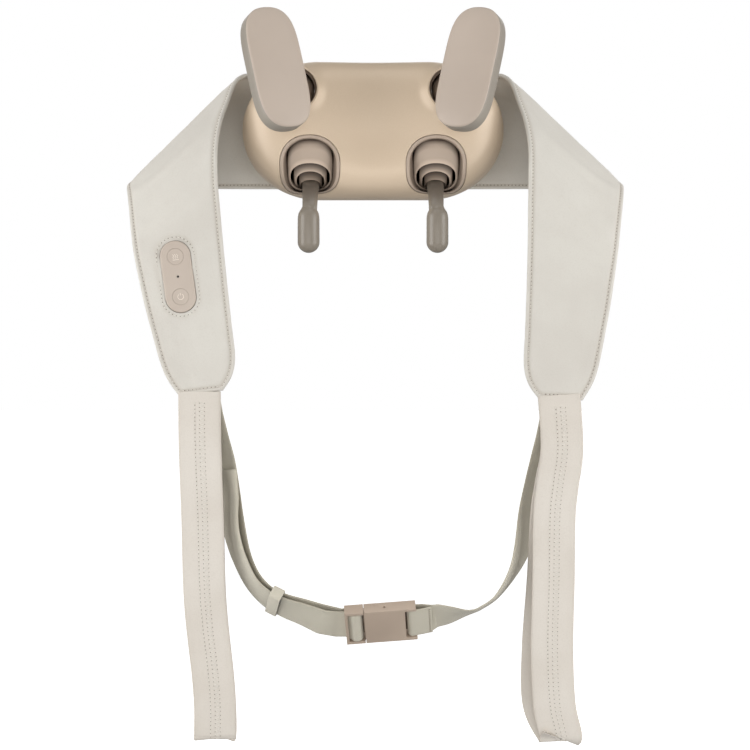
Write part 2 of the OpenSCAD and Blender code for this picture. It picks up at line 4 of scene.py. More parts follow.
import bmesh
import bpy
import numpy as np
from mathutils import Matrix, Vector


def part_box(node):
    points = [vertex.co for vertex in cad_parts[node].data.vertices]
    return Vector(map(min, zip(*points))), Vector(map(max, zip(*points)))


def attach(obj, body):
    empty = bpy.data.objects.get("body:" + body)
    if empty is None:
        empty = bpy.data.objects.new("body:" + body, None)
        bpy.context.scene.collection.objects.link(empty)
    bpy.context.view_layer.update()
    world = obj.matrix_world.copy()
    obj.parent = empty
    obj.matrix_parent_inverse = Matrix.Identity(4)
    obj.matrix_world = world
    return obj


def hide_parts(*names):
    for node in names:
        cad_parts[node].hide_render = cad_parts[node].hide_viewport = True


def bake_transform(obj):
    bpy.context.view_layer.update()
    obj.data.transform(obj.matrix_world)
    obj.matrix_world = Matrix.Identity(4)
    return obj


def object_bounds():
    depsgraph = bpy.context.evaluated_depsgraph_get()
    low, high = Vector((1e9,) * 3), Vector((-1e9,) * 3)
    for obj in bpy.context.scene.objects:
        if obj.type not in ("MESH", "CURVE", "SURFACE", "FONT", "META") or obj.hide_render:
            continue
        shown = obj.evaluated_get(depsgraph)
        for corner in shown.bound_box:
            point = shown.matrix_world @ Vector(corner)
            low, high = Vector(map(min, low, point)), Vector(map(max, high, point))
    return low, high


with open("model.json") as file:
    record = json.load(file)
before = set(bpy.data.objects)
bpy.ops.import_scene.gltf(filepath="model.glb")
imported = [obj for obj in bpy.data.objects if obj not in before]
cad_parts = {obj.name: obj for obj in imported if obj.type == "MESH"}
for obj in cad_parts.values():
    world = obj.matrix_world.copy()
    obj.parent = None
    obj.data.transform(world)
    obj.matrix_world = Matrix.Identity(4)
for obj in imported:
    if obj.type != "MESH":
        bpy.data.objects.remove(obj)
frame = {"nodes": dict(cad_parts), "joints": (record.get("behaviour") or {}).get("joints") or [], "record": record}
cad_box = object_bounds()

MM = 0.001
NODES = frame["nodes"]
BODY_OF = {n: b for b, members in frame["record"]["behaviour"]["bodies"].items() for n in members}
JOINTS = {j["name"]: j for j in frame["joints"]}
SIDES = {"left": -1, "right": 1}


def box_mm(node):
    """Lowest and highest corner of a node, in millimetres."""
    low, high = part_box(node)
    return np.array(low) / MM, np.array(high) / MM


def added(name, data):
    """A new object in the scene."""
    thing = bpy.data.objects.new(name, data)
    bpy.context.scene.collection.objects.link(thing)
    return thing


# ---- camera, floor and light ----
AMBIENT = 0.31
FLOOR_DROP = 0.25    # metres under the lowest point of the object
FLOOR_REACH = 30     # metres from the middle to the floor's sides


def set_camera():
    camera = added("camera", bpy.data.cameras.new("camera"))
    camera.location = (0.0018, -1.8, -0.228)
    camera.rotation_euler = (math.radians(90), 0, 0)
    camera.data.sensor_width = 36
    camera.data.lens = 93.9
    bpy.context.scene.camera = camera


def soft_box(name, place, target, size, watts):
    lamp = added(name, bpy.data.lights.new(name, "AREA"))
    lamp.data.shape = "RECTANGLE"
    lamp.data.size, lamp.data.size_y = size
    lamp.data.energy = watts
    lamp.location = place
    lamp.rotation_euler = (Vector(target) - Vector(place)).to_track_quat("-Z", "Y").to_euler()


def set_studio():
    middle = (0, 0, -0.15)
    soft_box("left_light", (-1.5, -0.6, -0.1), middle, (1.1, 1.8), 23)
    soft_box("right_light", (1.5, -0.6, -0.1), middle, (1.1, 1.8), 22)
    soft_box("front_light", (0, -2.9, -0.5), (0, 0, -0.25), (2.6, 1.4), 22)
    soft_box("low_light", (0, -1.2, -1.7), middle, (2.4, 1.4), 7)
    soft_box("top_light", (0, -0.5, 1.5), middle, (2.0, 0.8), 6)
    soft_box("back_light", (0, 1.6, 0.5), middle, (1.8, 1.0), 7)
    world = bpy.data.worlds.new("studio")
    world.use_nodes = True
    nodes, links = world.node_tree.nodes, world.node_tree.links
    shown, lit = nodes["Background"], nodes.new("ShaderNodeBackground")
    shown.inputs["Color"].default_value = lit.inputs["Color"].default_value = (1, 1, 1, 1)
    lit.inputs["Strength"].default_value = AMBIENT
    both, path = nodes.new("ShaderNodeMixShader"), nodes.new("ShaderNodeLightPath")
    links.new(path.outputs["Is Camera Ray"], both.inputs[0])
    links.new(lit.outputs[0], both.inputs[1])
    links.new(shown.outputs[0], both.inputs[2])
    links.new(both.outputs[0], nodes["World Output"].inputs["Surface"])
    bpy.context.scene.world = world
    bpy.context.scene.view_settings.view_transform = "Standard"
    floor = bpy.data.meshes.new("floor")
    z = cad_box[0].z - FLOOR_DROP
    corners = [(x * FLOOR_REACH, y * FLOOR_REACH, z) for x, y in ((-1, -1), (1, -1), (1, 1), (-1, 1))]
    floor.from_pydata(corners, [], [(0, 1, 2, 3)])
    floor_object = added("floor", floor)
    look = Look("pale_floor", (240, 240, 239), 0.9, emission_color=(1, 1, 1, 1),
                emission_strength=0.9)
    floor.materials.append(look.material)
    floor_object.visible_diffuse = floor_object.visible_glossy = False


# ---- shader maths ----
class Value:
    """A node's output, on which the usual operators add Math nodes."""

    def __init__(self, look, socket):
        self.look = look
        self.socket = socket

    def maths(self, operation, *values):
        return self.look.node("ShaderNodeMath", {"operation": operation}, dict(enumerate(values)))

    def __add__(self, other):
        return self.maths("ADD", self, other)

    def __radd__(self, other):
        return self.maths("ADD", other, self)

    def __sub__(self, other):
        return self.maths("SUBTRACT", self, other)

    def __rsub__(self, other):
        return self.maths("SUBTRACT", other, self)

    def __mul__(self, other):
        return self.maths("MULTIPLY", self, other)

    def __rmul__(self, other):
        return self.maths("MULTIPLY", other, self)

    def sine(self):
        return self.maths("SINE", self)

    def over(self, low, high):
        """0 below low and 1 above high, with a smooth step between them."""
        settings = {"interpolation_type": "SMOOTHSTEP"}
        return self.look.node("ShaderNodeMapRange", settings, {0: self, 1: low, 2: high})


def linear(rgb):
    """A colour given as 0 to 255, in the light's own scale."""
    part = [c / 255 for c in rgb]
    return tuple(c / 12.92 if c <= 0.04045 else ((c + 0.055) / 1.055) ** 2.4 for c in part) + (1,)


class Look:
    """A material built round one Principled shader."""

    def __init__(self, name, colour, roughness=0.5, **constants):
        self.material = bpy.data.materials.new(name)
        self.material.use_nodes = True
        self.tree = self.material.node_tree
        self.shader = self.tree.nodes["Principled BSDF"]
        self.colour = linear(colour)
        self.shader.inputs["Base Color"].default_value = self.colour
        self.shader.inputs["Roughness"].default_value = roughness
        for socket, value in constants.items():
            self.shader.inputs[socket.replace("_", " ").title()].default_value = value

    def node(self, kind, settings=None, sockets=None, output=0):
        node = self.tree.nodes.new(kind)
        for key, value in (settings or {}).items():
            setattr(node, key, value)
        for key, value in (sockets or {}).items():
            if isinstance(value, Value):
                self.tree.links.new(value.socket, node.inputs[key])
            else:
                node.inputs[key].default_value = value
        return Value(self, node.outputs[output])

    def feed(self, socket, value):
        self.tree.links.new(value.socket, self.shader.inputs[socket])

    def place(self):
        return self.node("ShaderNodeTexCoord", output="Object")

    def uv(self):
        """Millimetres across and along a strap."""
        both = self.node("ShaderNodeUVMap", {"uv_map": "cloth"})
        across = self.node("ShaderNodeSeparateXYZ", sockets={0: both}, output="X")
        along = self.node("ShaderNodeSeparateXYZ", sockets={0: both}, output="Y")
        return across, along

    def noise(self, scale, detail=3.0, roughness=0.5):
        sockets = {"Vector": self.place(), "Scale": scale, "Detail": detail,
                   "Roughness": roughness}
        return self.node("ShaderNodeTexNoise", sockets=sockets, output="Fac")

    def cells(self, scale, feature="F1"):
        sockets = {"Vector": self.place(), "Scale": scale}
        return self.node("ShaderNodeTexVoronoi", {"feature": feature}, sockets, "Distance")

    def named(self, attribute):
        return self.node("ShaderNodeAttribute", {"attribute_name": attribute}, output="Fac")

    def mix(self, share, first, second):
        """From first to second colour as share goes from 0 to 1."""
        pair = [c if isinstance(c, Value) else linear(c) for c in (first, second)]
        return self.node("ShaderNodeMix", {"data_type": "RGBA"}, {0: share, 6: pair[0], 7: pair[1]}, 2)

    def bump(self, height, depth, strength=1.0, under=None):
        sockets = {"Height": height, "Distance": depth, "Strength": strength}
        if under:
            sockets["Normal"] = under
        return self.node("ShaderNodeBump", sockets=sockets)


def lacquer():
    """The pod's pearly champagne lacquer."""
    look = Look("champagne_lacquer", (214, 193, 167), 0.42, metallic=0.1, coat_weight=0.15,
                coat_roughness=0.35)
    pearl = look.noise(2600.0, 2.0)
    drift = look.noise(9.0, 2.0)
    base = look.mix(drift, (204, 183, 157), (215, 194, 168))
    look.feed("Base Color", look.mix(pearl.over(0.35, 0.8) * 0.35, base, (228, 210, 188)))
    look.feed("Roughness", 0.37 + look.noise(34.0, 4.0) * 0.10)
    look.feed("Normal", look.bump(look.noise(1900.0, 2.0), 0.00003, 0.5))
    return look


def moulded(name, light, dark, roughness=0.46, grain=0.00006, **constants):
    """Matte moulded plastic with a fine spark-eroded grain, a painted highlight at rims and painted shade in gaps.
    """
    look = Look(name, light, roughness, **constants)
    base = look.mix(look.noise(16.0, 3.0).over(0.3, 0.75), light, dark)
    # painted highlight: lighter where the rim attribute is marked, along the hoods' mouths
    base = look.mix(look.named("rim") * 0.9, base, [min(255, c * 1.16) for c in light])
    # painted shade: darker towards a deep brown where the shade attribute is marked, in gaps and under rims
    look.feed("Base Color", look.mix(look.named("painted_shade") * 0.93, base, (64, 50, 40)))
    look.feed("Roughness", roughness - 0.05 + look.noise(60.0, 4.0) * 0.10)
    look.feed("Normal", look.bump(look.noise(2300.0, 3.0), grain, 0.55))
    return look


def leather(name, light, dark, groove):
    """Ivory synthetic leather: a fine pebble, faint clouds and painted shade in a stitched groove."""
    look = Look(name, light, 0.5, sheen_weight=0.12, sheen_roughness=0.5)
    clouds = look.noise(15.0, 4.0).over(0.3, 0.72)
    base = look.mix(clouds, light, dark)
    pebble = look.cells(760.0)
    creases = look.noise(90.0, 5.0, 0.6)
    shade = look.named("groove")
    base = look.mix(pebble.over(0.45, 0.9) * 0.10, base, groove)
    # painted shade: darker towards the groove colour in the arms' and band's stitched grooves; on the hand straps,
    # darker along their edges
    look.feed("Base Color", look.mix(shade * 0.55, base, groove))
    look.feed("Roughness", 0.44 + clouds * 0.08 + pebble * 0.10)
    soft = look.bump(creases, 0.0005, 0.28)
    look.feed("Normal", look.bump(pebble, 0.00012, 0.42, soft))
    return look


def twill(name, light, dark):
    """Woven webbing: a fine diagonal rib, and a closer, darker edge on both sides."""
    look = Look(name, light, 0.78, sheen_weight=0.25, sheen_roughness=0.6)
    across, along = look.uv()
    rib = ((across * 1.25 + along * 1.9) * math.pi).sine() * 0.5 + 0.5
    thread = ((across * 1.4 - along * 1.1) * 2.0 * math.pi).sine() * 0.5 + 0.5
    edge = look.named("selvedge")
    weave = rib * 0.7 + thread * 0.3
    clouds = look.noise(40.0, 3.0)
    base = look.mix(weave.over(0.05, 0.7), dark, light)
    base = look.mix(clouds.over(0.35, 0.8) * 0.3, base, dark)
    look.feed("Base Color", look.mix(edge * 0.5, base, dark))
    look.feed("Roughness", 0.72 + weave * 0.12)
    look.feed("Normal", look.bump(weave, 0.00022, 0.7))
    return look


def plain_thread(name, colour):
    look = Look(name, colour, 0.62, sheen_weight=0.2)
    ply = look.cells(2400.0)
    look.feed("Base Color", look.mix(ply.over(0.2, 0.8) * 0.4, colour, [c * 0.82 for c in colour]))
    look.feed("Normal", look.bump(ply, 0.00008, 0.5))
    return look


def turned_steel():
    look = Look("turned_steel", (186, 187, 190), 0.28, metallic=1.0)
    rings = look.noise(420.0, 5.0, 0.7)
    look.feed("Base Color", look.mix(rings, (168, 169, 172), (205, 206, 208)))
    look.feed("Roughness", 0.2 + rings * 0.2)
    look.feed("Normal", look.bump(rings, 0.00003, 0.4))
    return look


def solder_mask():
    look = Look("solder_mask", (24, 84, 48), 0.35, coat_weight=0.3)
    tracks = look.cells(160.0, "DISTANCE_TO_EDGE")
    look.feed("Base Color", look.mix(tracks.over(0.02, 0.05), (62, 130, 78), (22, 78, 45)))
    look.feed("Normal", look.bump(tracks.over(0.02, 0.05), 0.00004, 0.6))
    return look


def shrink_wrap():
    look = Look("shrink_wrap", (48, 92, 150), 0.3, coat_weight=0.4)
    wrinkles = look.noise(120.0, 4.0)
    look.feed("Base Color", look.mix(wrinkles, (42, 84, 140), (62, 108, 168)))
    look.feed("Normal", look.bump(wrinkles, 0.0002, 0.3))
    return look


LOOKS = {
    "casing_plastic": lacquer(),
    "paddle_skin": moulded("soft_touch_taupe", (189, 174, 160), (182, 167, 153), 0.52, sheen_weight=0.15),
    "grey_plastic": moulded("matte_warm_grey", (155, 147, 136), (148, 140, 129), 0.42),
    "taupe_plastic": moulded("matte_taupe", (184, 166, 149), (176, 158, 141), 0.45),
    "dark_plastic": moulded("matte_dark_brown", (112, 95, 80), (100, 85, 72), 0.5),
    "white_plastic": moulded("acetal", (236, 233, 224), (228, 225, 216), 0.38),
    "silicone": moulded("matte_silicone", (137, 128, 116), (129, 121, 109), 0.33, 0.00004),
    "leather": leather("ivory_leather", (212, 208, 199), (205, 200, 191), (184, 175, 162)),
    "strap_leather": leather("strap_leather", (216, 209, 199), (209, 201, 190), (184, 174, 161)),
    "webbing": twill("grey_beige_webbing", (207, 201, 184), (178, 171, 153)),
    "steel": turned_steel(),
    "circuit_board": solder_mask(),
    "cell_wrap": shrink_wrap(),
    "led_lens": moulded("smoked_lens", (58, 50, 44), (50, 43, 38), 0.2),
}
PANEL = moulded("panel_taupe", (193, 180, 167), (187, 173, 160), 0.42)
THREAD = plain_thread("ivory_thread", (232, 227, 218))
BELT_THREAD = plain_thread("taupe_thread", (140, 128, 110))
# painted shade: dark dots that stand for the shade inside the needle holes
HOLE_SHADE = moulded("needle_hole_shade", (128, 116, 100), (118, 106, 92), 0.8)
ICON = moulded("icon_paint", (233, 222, 210), (228, 217, 205), 0.4)
SLOT_OF = {s["node"]: s["material_slot"] for s in frame["record"]["subparts"]}


# ---- meshes ----
def unit(v):
    v = np.asarray(v, float)
    return v / np.maximum(np.linalg.norm(v, axis=-1, keepdims=True), 1e-12)


def smooth(t):
    t = np.clip(t, 0, 1)
    return t * t * (3 - 2 * t)


def power(v, e):
    return np.sign(v) * np.abs(v) ** e


def curve_through(points, steps):
    """A smooth curve through the points, with so many steps between neighbours."""
    p = np.asarray(points, float)
    last = len(p) - 1
    out = []
    for i in range(last):
        a, b, c, d = p[max(0, i - 1)], p[i], p[i + 1], p[min(last, i + 2)]
        for k in range(steps):
            t = k / steps
            out.append(0.5 * (2 * b + (c - a) * t + (2 * a - 5 * b + 4 * c - d) * t * t
                              + (3 * b - a - 3 * c + d) * t ** 3))
    return np.array(out + [p[last]])


def lengths(route):
    """How far along the route each of its points is."""
    return np.concatenate([[0], np.cumsum(np.linalg.norm(np.diff(route, axis=0), axis=1))])


def evenly(route, pitch, start):
    """Points a pitch apart along the route, the first one so far from its start."""
    along = lengths(route)
    at = np.arange(start, along[-1], pitch)
    return np.stack([np.interp(at, along, route[:, k]) for k in range(route.shape[1])], 1)


def superellipse(a, b, n, steps):
    t = 2 * np.pi * np.arange(steps) / steps
    return np.stack([a * power(np.cos(t), 2 / n), b * power(np.sin(t), 2 / n)], 1)


def long_oval(a, b, steps):
    """Nearly straight along its sides, with full round ends."""
    t = 2 * np.pi * np.arange(steps) / steps
    return np.stack([a * power(np.cos(t), 2 / 2.4), b * power(np.sin(t), 2 / 4.4)], 1)


def arch(a, above, below, n_below, steps, n_above=2.15):
    """Half width, height above and height below: a round arch above and squarer below."""
    t = 2 * np.pi * np.arange(steps) / steps
    up = np.sin(t) > 0
    n = np.where(up, n_above, n_below)
    high = np.where(up, above, below)
    return np.stack([a * power(np.cos(t), 2 / n), high * power(np.sin(t), 2 / n)], 1)


def mesh_piece(name, points, faces, look, body, slot, replaced=()):
    """A piece from points in millimetres, with its faces turned outwards."""
    mesh = bpy.data.meshes.new(name)
    mesh.from_pydata((np.asarray(points) * MM).tolist(), [], faces)
    piece = added(name, mesh)
    mesh.materials.append(look.material)
    tidy(piece)
    return placed(piece, body, replaced)


def placed(piece, body, replaced=()):
    if body:
        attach(piece, body)
    if replaced:
        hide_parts(*replaced)
    return piece


def tidy(piece, sharp=38):
    """Turns the faces outwards and smooths all but the sharp edges."""
    made = bmesh.new()
    made.from_mesh(piece.data)
    bmesh.ops.recalc_face_normals(made, faces=made.faces)
    for face in made.faces:
        face.smooth = True
    for edge in made.edges:
        edge.smooth = len(edge.link_faces) != 2 or edge.calc_face_angle(0) < math.radians(sharp)
    made.to_mesh(piece.data)
    made.free()


def ring_faces(rings, around, closed=False):
    """Quads between neighbouring rings of points; closed joins the last ring to the first."""
    faces = []
    for i in range(rings if closed else rings - 1):
        for j in range(around):
            k = (j + 1) % around
            below = ((i + 1) % rings) * around
            faces.append((i * around + j, i * around + k, below + k, below + j))
    return faces


def skin(rings):
    """A closed solid through rings of points, with a fan at both ends."""
    rings = np.asarray(rings, float)
    n, m = rings.shape[:2]
    points = np.concatenate([rings.reshape(-1, 3), [rings[0].mean(0)], [rings[-1].mean(0)]])
    faces = ring_faces(n, m)
    faces += [((j + 1) % m, j, n * m) for j in range(m)]
    faces += [((n - 1) * m + j, (n - 1) * m + (j + 1) % m, n * m + 1) for j in range(m)]
    return points, faces


def hoop(rings):
    rings = np.asarray(rings, float)
    return rings.reshape(-1, 3), ring_faces(len(rings), rings.shape[1], True)


def joined(*parts):
    """Several lots of points and faces as one."""
    points, faces, start = [], [], 0
    for p, f in parts:
        points.append(np.asarray(p, float))
        faces += [tuple(i + start for i in face) for face in f]
        start += len(p)
    return np.concatenate(points), faces


def inside_out(part):
    return part[0], [tuple(reversed(f)) for f in part[1]]


def mirrored(part, side):
    return np.asarray(part[0]) * [side, 1, 1], part[1]


def bar_y(outline, y0, y1):
    """An outline of [x, z] points along Y."""
    return skin([[(x, y, z) for x, z in np.asarray(outline, float)] for y in (y0, y1)])


def cut(piece, tool):
    """Takes the tool's solid, as points and faces, out of the piece."""
    mesh = bpy.data.meshes.new("cutter")
    mesh.from_pydata((np.asarray(tool[0]) * MM).tolist(), [], tool[1])
    cutter = added("cutter", mesh)
    tidy(cutter)
    boolean = piece.modifiers.new("cut", "BOOLEAN")
    boolean.operation = "DIFFERENCE"
    boolean.solver = "MANIFOLD"
    boolean.object = cutter
    bake_modifiers(piece)
    bpy.data.objects.remove(cutter)


def bake_modifiers(piece):
    """Turns the piece with its modifiers into a plain mesh."""
    graph = bpy.context.evaluated_depsgraph_get()
    made = bpy.data.meshes.new_from_object(piece.evaluated_get(graph))
    piece.modifiers.clear()
    piece.data = made


def rounded(piece, width):
    """Rounds the edges that turn by more than 30 degrees."""
    bevel = piece.modifiers.new("edge", "BEVEL")
    bevel.width = width * MM
    bevel.segments = 3
    bevel.limit_method = "ANGLE"
    bevel.angle_limit = math.radians(30)
    bake_modifiers(piece)


def from_node(node, bevel):
    """A finished copy of a CAD node's mesh, merged and with its edges rounded."""
    mesh = NODES[node].data.copy()
    piece = added(node + "_moulding", mesh)
    mesh.materials.clear()
    mesh.materials.append(LOOKS[SLOT_OF[node]].material)
    made = bmesh.new()
    made.from_mesh(mesh)
    bmesh.ops.remove_doubles(made, verts=made.verts, dist=1e-6)
    bmesh.ops.dissolve_limit(made, angle_limit=math.radians(2), verts=made.verts, edges=made.edges)
    made.to_mesh(mesh)
    made.free()
    rounded(piece, bevel)
    tidy(piece)
    return placed(piece, BODY_OF[node], [node])


# ---- stitches, laid by Geometry Nodes ----
def stitch_tree():
    """Lays stitches a pitch apart along a path; slant turns every other one the other way."""
    tree = bpy.data.node_groups.new("stitch_row", "GeometryNodeTree")
    face = tree.interface
    face.new_socket("Path", in_out="INPUT", socket_type="NodeSocketGeometry")
    for name in ("Pitch", "Length", "Thickness", "Slant"):
        face.new_socket(name, in_out="INPUT", socket_type="NodeSocketFloat")
    face.new_socket("Facing", in_out="INPUT", socket_type="NodeSocketVector")
    face.new_socket("Material", in_out="INPUT", socket_type="NodeSocketMaterial")
    face.new_socket("Stitches", in_out="OUTPUT", socket_type="NodeSocketGeometry")

    def add(kind, settings=None, sockets=None):
        node = tree.nodes.new(kind)
        for key, value in (settings or {}).items():
            setattr(node, key, value)
        for key, value in (sockets or {}).items():
            if isinstance(value, bpy.types.NodeSocket):
                tree.links.new(value, node.inputs[key])
            else:
                node.inputs[key].default_value = value
        return node

    given = add("NodeGroupInput").outputs
    curve = add("GeometryNodeMeshToCurve", sockets={"Mesh": given["Path"]})
    spaced = add("GeometryNodeResampleCurve", {"mode": "LENGTH"},
                 {"Curve": curve.outputs[0], "Length": given["Pitch"]})
    tangent = add("GeometryNodeInputTangent").outputs[0]
    index = add("GeometryNodeInputIndex").outputs[0]
    odd = add("ShaderNodeMath", {"operation": "PINGPONG"}, {0: index, 1: 1.0})
    sign = add("ShaderNodeMath", {"operation": "MULTIPLY_ADD"}, {0: odd.outputs[0], 1: 2.0, 2: -1.0})
    lean = add("ShaderNodeMath", {"operation": "MULTIPLY"}, {0: sign.outputs[0], 1: given["Slant"]})
    side = add("ShaderNodeVectorMath", {"operation": "CROSS_PRODUCT"}, {0: tangent, 1: given["Facing"]})
    off = add("ShaderNodeVectorMath", {"operation": "SCALE"}, {0: side.outputs[0], 3: lean.outputs[0]})
    way = add("ShaderNodeVectorMath", {"operation": "ADD"}, {0: tangent, 1: off.outputs[0]})
    turn = add("FunctionNodeAlignRotationToVector", {"axis": "Z"}, {"Vector": way.outputs[0]})
    half = add("ShaderNodeMath", {"operation": "MULTIPLY"}, {0: given["Length"], 1: 0.5})
    size = add("ShaderNodeCombineXYZ",
               sockets={0: given["Thickness"], 1: given["Thickness"], 2: half.outputs[0]})
    grain = add("GeometryNodeMeshUVSphere", sockets={"Segments": 6, "Rings": 4, "Radius": 1.0})
    laid = add("GeometryNodeInstanceOnPoints", sockets={
        "Points": spaced.outputs[0], "Instance": grain.outputs[0],
        "Rotation": turn.outputs[0], "Scale": size.outputs[0]})
    real = add("GeometryNodeRealizeInstances", sockets={0: laid.outputs[0]})
    shaded = add("GeometryNodeSetShadeSmooth", sockets={0: real.outputs[0]})
    last = add("GeometryNodeSetMaterial", sockets={0: shaded.outputs[0], "Material": given["Material"]})
    add("NodeGroupOutput", sockets={0: last.outputs[0]})
    return tree


STITCH_TREE = stitch_tree()


def stitch_row(name, paths, pitch, length, radius, look, facing=(0, -1, 0), slant=0.0):
    """Stitches along the paths, given in millimetres; a path of under one pitch takes none."""
    points, edges, start = [], [], 0
    for path in paths:
        points += (np.asarray(path) * MM).tolist()
        edges += [(start + k, start + k + 1) for k in range(len(path) - 1)]
        start = len(points)
    mesh = bpy.data.meshes.new(name)
    mesh.from_pydata(points, edges, [])
    piece = added(name, mesh)
    modifier = piece.modifiers.new("stitches", "NODES")
    modifier.node_group = STITCH_TREE
    given = {"Pitch": pitch * MM, "Length": length * MM, "Thickness": radius * MM, "Slant": slant,
             "Facing": facing, "Material": look.material}
    for item in STITCH_TREE.interface.items_tree:
        if item.name in given:
            modifier[item.identifier] = given[item.name]
    bake_modifiers(piece)
    return piece


THREAD_R = 0.33
THREAD_SHARE = 0.72               # of the pitch that shows as thread
NEEDLE_L, NEEDLE_R = 0.95, 0.42


def sewn(name, paths, body, slot, pitch=3.4, **options):
    """Threads, and a dark dot between each pair of them: painted shade in the needle hole."""
    row = stitch_row(name + "_thread", paths, pitch, pitch * THREAD_SHARE, THREAD_R, THREAD,
                     **options)
    placed(row, body)
    shifted = [evenly(np.asarray(p), 1.0, pitch / 2) for p in paths]
    holes = stitch_row(name + "_holes", shifted, pitch, NEEDLE_L, NEEDLE_R, HOLE_SHADE)
    placed(holes, body)


# ---- the pod's shape, as its casing has it ----
POD_A, POD_B, POD_C = 122, 43, 64
SADDLE = 12
POD_Y = POD_B - SADDLE
POD_FLAT = 50
POD_N = 2.8
POD_SPLIT = 36
WALL = 2.3
SEAM = 0.25
SOCKET = np.array([abs(JOINTS["right_paddle_tip"]["pos_m"][k]) / MM for k in (0, 2)])
SOCKET_R = 20.6
LIP_HEIGHT = 4.2
LIP_REACH = 6.0
FINGER_X = JOINTS["right_finger_swing"]["pos_m"][0] / MM
FINGER_YZ = np.array(JOINTS["right_finger_swing"]["pos_m"][1:]) / MM
BEZEL_Z = -34
BEZEL_OUTSIDE = (28, 26.2, 26.6, 3.4)      # half width, above, below, squareness below
BEZEL_INSIDE = (24.2, 22.4, 25.2, 3.4)
CUT_FROM = -60                             # in front of the whole pod
FAR = 160                                  # outside the whole pod


def saddle_at(x, z):
    return SADDLE * np.exp(-(x / 42) ** 2) * smooth((z + 62) / 57)


def pod_front(x, z):
    """Depth of the pod's front face."""
    e = np.clip((np.abs(x) - POD_FLAT) / (POD_A - POD_FLAT), 0, 0.999)
    f = np.sqrt(1 - e * e)
    forward = np.clip(1 - (np.abs(z) / (POD_C * f)) ** POD_N, 0, 1) ** (1 / POD_N)
    return POD_Y - POD_B * f ** 0.75 * forward + saddle_at(x, z) * np.sqrt(forward)


def lip_at(x, z):
    """How far the rim round a paddle's socket flares out of the front."""
    d = np.hypot(np.abs(x) - SOCKET[0], z - SOCKET[1])
    return LIP_HEIGHT * np.exp(-(np.maximum(d - SOCKET_R, 0) / LIP_REACH) ** 2)


def pod_skin(inset, ends, flats, steps, flared):
    reach = POD_A - inset - POD_FLAT
    e = np.radians(np.linspace(0, 88.5, ends + 1)[1:])
    xs = np.concatenate([-POD_FLAT - reach * np.sin(e[::-1]), np.linspace(-POD_FLAT, POD_FLAT, flats),
                         POD_FLAT + reach * np.sin(e)])
    fs = np.concatenate([np.cos(e[::-1]), np.ones(flats), np.cos(e)])
    t = 2 * np.pi * (np.arange(steps) + 0.5) / steps
    forward = power(np.cos(t), 2 / POD_N)
    rings = []
    for x, f in zip(xs, fs):
        z = (POD_C - inset) * f * power(np.sin(t), 2 / POD_N)
        y = POD_Y - (POD_B - inset) * f ** 0.75 * forward
        y += np.where(forward > 0, saddle_at(x, z) * np.sqrt(np.maximum(forward, 0)), 0)
        if flared:
            y -= lip_at(x, z) * smooth((22 - y) / 14)
        rings.append(np.stack([np.full(steps, x), y, z], 1))
    return skin(rings)


def socket_rim(side):
    """The rolled edge of a socket's flared lip."""
    rings = []
    for t in np.linspace(0, 2 * np.pi, 96, endpoint=False):
        x, z = SOCKET[0] + (SOCKET_R + 1.1) * np.cos(t), SOCKET[1] + (SOCKET_R + 1.1) * np.sin(t)
        y = float(pod_front(x, z)) - LIP_HEIGHT + 0.95
        out = np.array([np.cos(t), 0, np.sin(t)])
        ring = [np.array([x, y, z]) + 1.15 * (np.cos(a) * out - np.sin(a) * np.array([0, 1, 0]))
                for a in np.linspace(0, 2 * np.pi, 12, endpoint=False)]
        rings.append(ring)
    return mirrored(hoop(rings), side)


def pod_shells():
    outer = pod_skin(0, 56, 64, 200, True)
    inner = inside_out(pod_skin(WALL, 40, 40, 144, False))
    rods = []
    for side in SIDES.values():
        ring = superellipse(SOCKET_R, SOCKET_R, 2, 96) + [side * SOCKET[0], SOCKET[1]]
        rods.append(bar_y(ring, CUT_FROM, POD_SPLIT - 6))
        mouth = arch(*BEZEL_OUTSIDE, 96) + [side * FINGER_X, BEZEL_Z]
        rods.append(bar_y(mouth, CUT_FROM, 20))
    square = [[-FAR, -FAR], [FAR, -FAR], [FAR, FAR], [-FAR, FAR]]
    behind = bar_y(square, POD_SPLIT - SEAM, FAR)
    ahead = bar_y(square, -FAR, POD_SPLIT + SEAM)
    port = bar_y(superellipse(5, 9, 4, 24) + [0, -60], 46.1, 49.9)
    both = joined(outer, inner)
    front = mesh_piece("front_shell_skin", *both, LOOKS["casing_plastic"], None, None)
    cut(front, joined(behind, *rods))
    rear = mesh_piece("rear_cover_skin", *both, LOOKS["casing_plastic"], None, None)
    cut(rear, joined(ahead, port))
    for piece in (front, rear):
        tidy(piece, sharp=50)
    placed(front, "casing", ["front_shell"])
    placed(rear, "casing", ["rear_cover"])


def socket_rims():
    both = joined(*(socket_rim(s) for s in SIDES.values()))
    mesh_piece("socket_rims", *both, LOOKS["casing_plastic"], "casing", "casing_plastic")


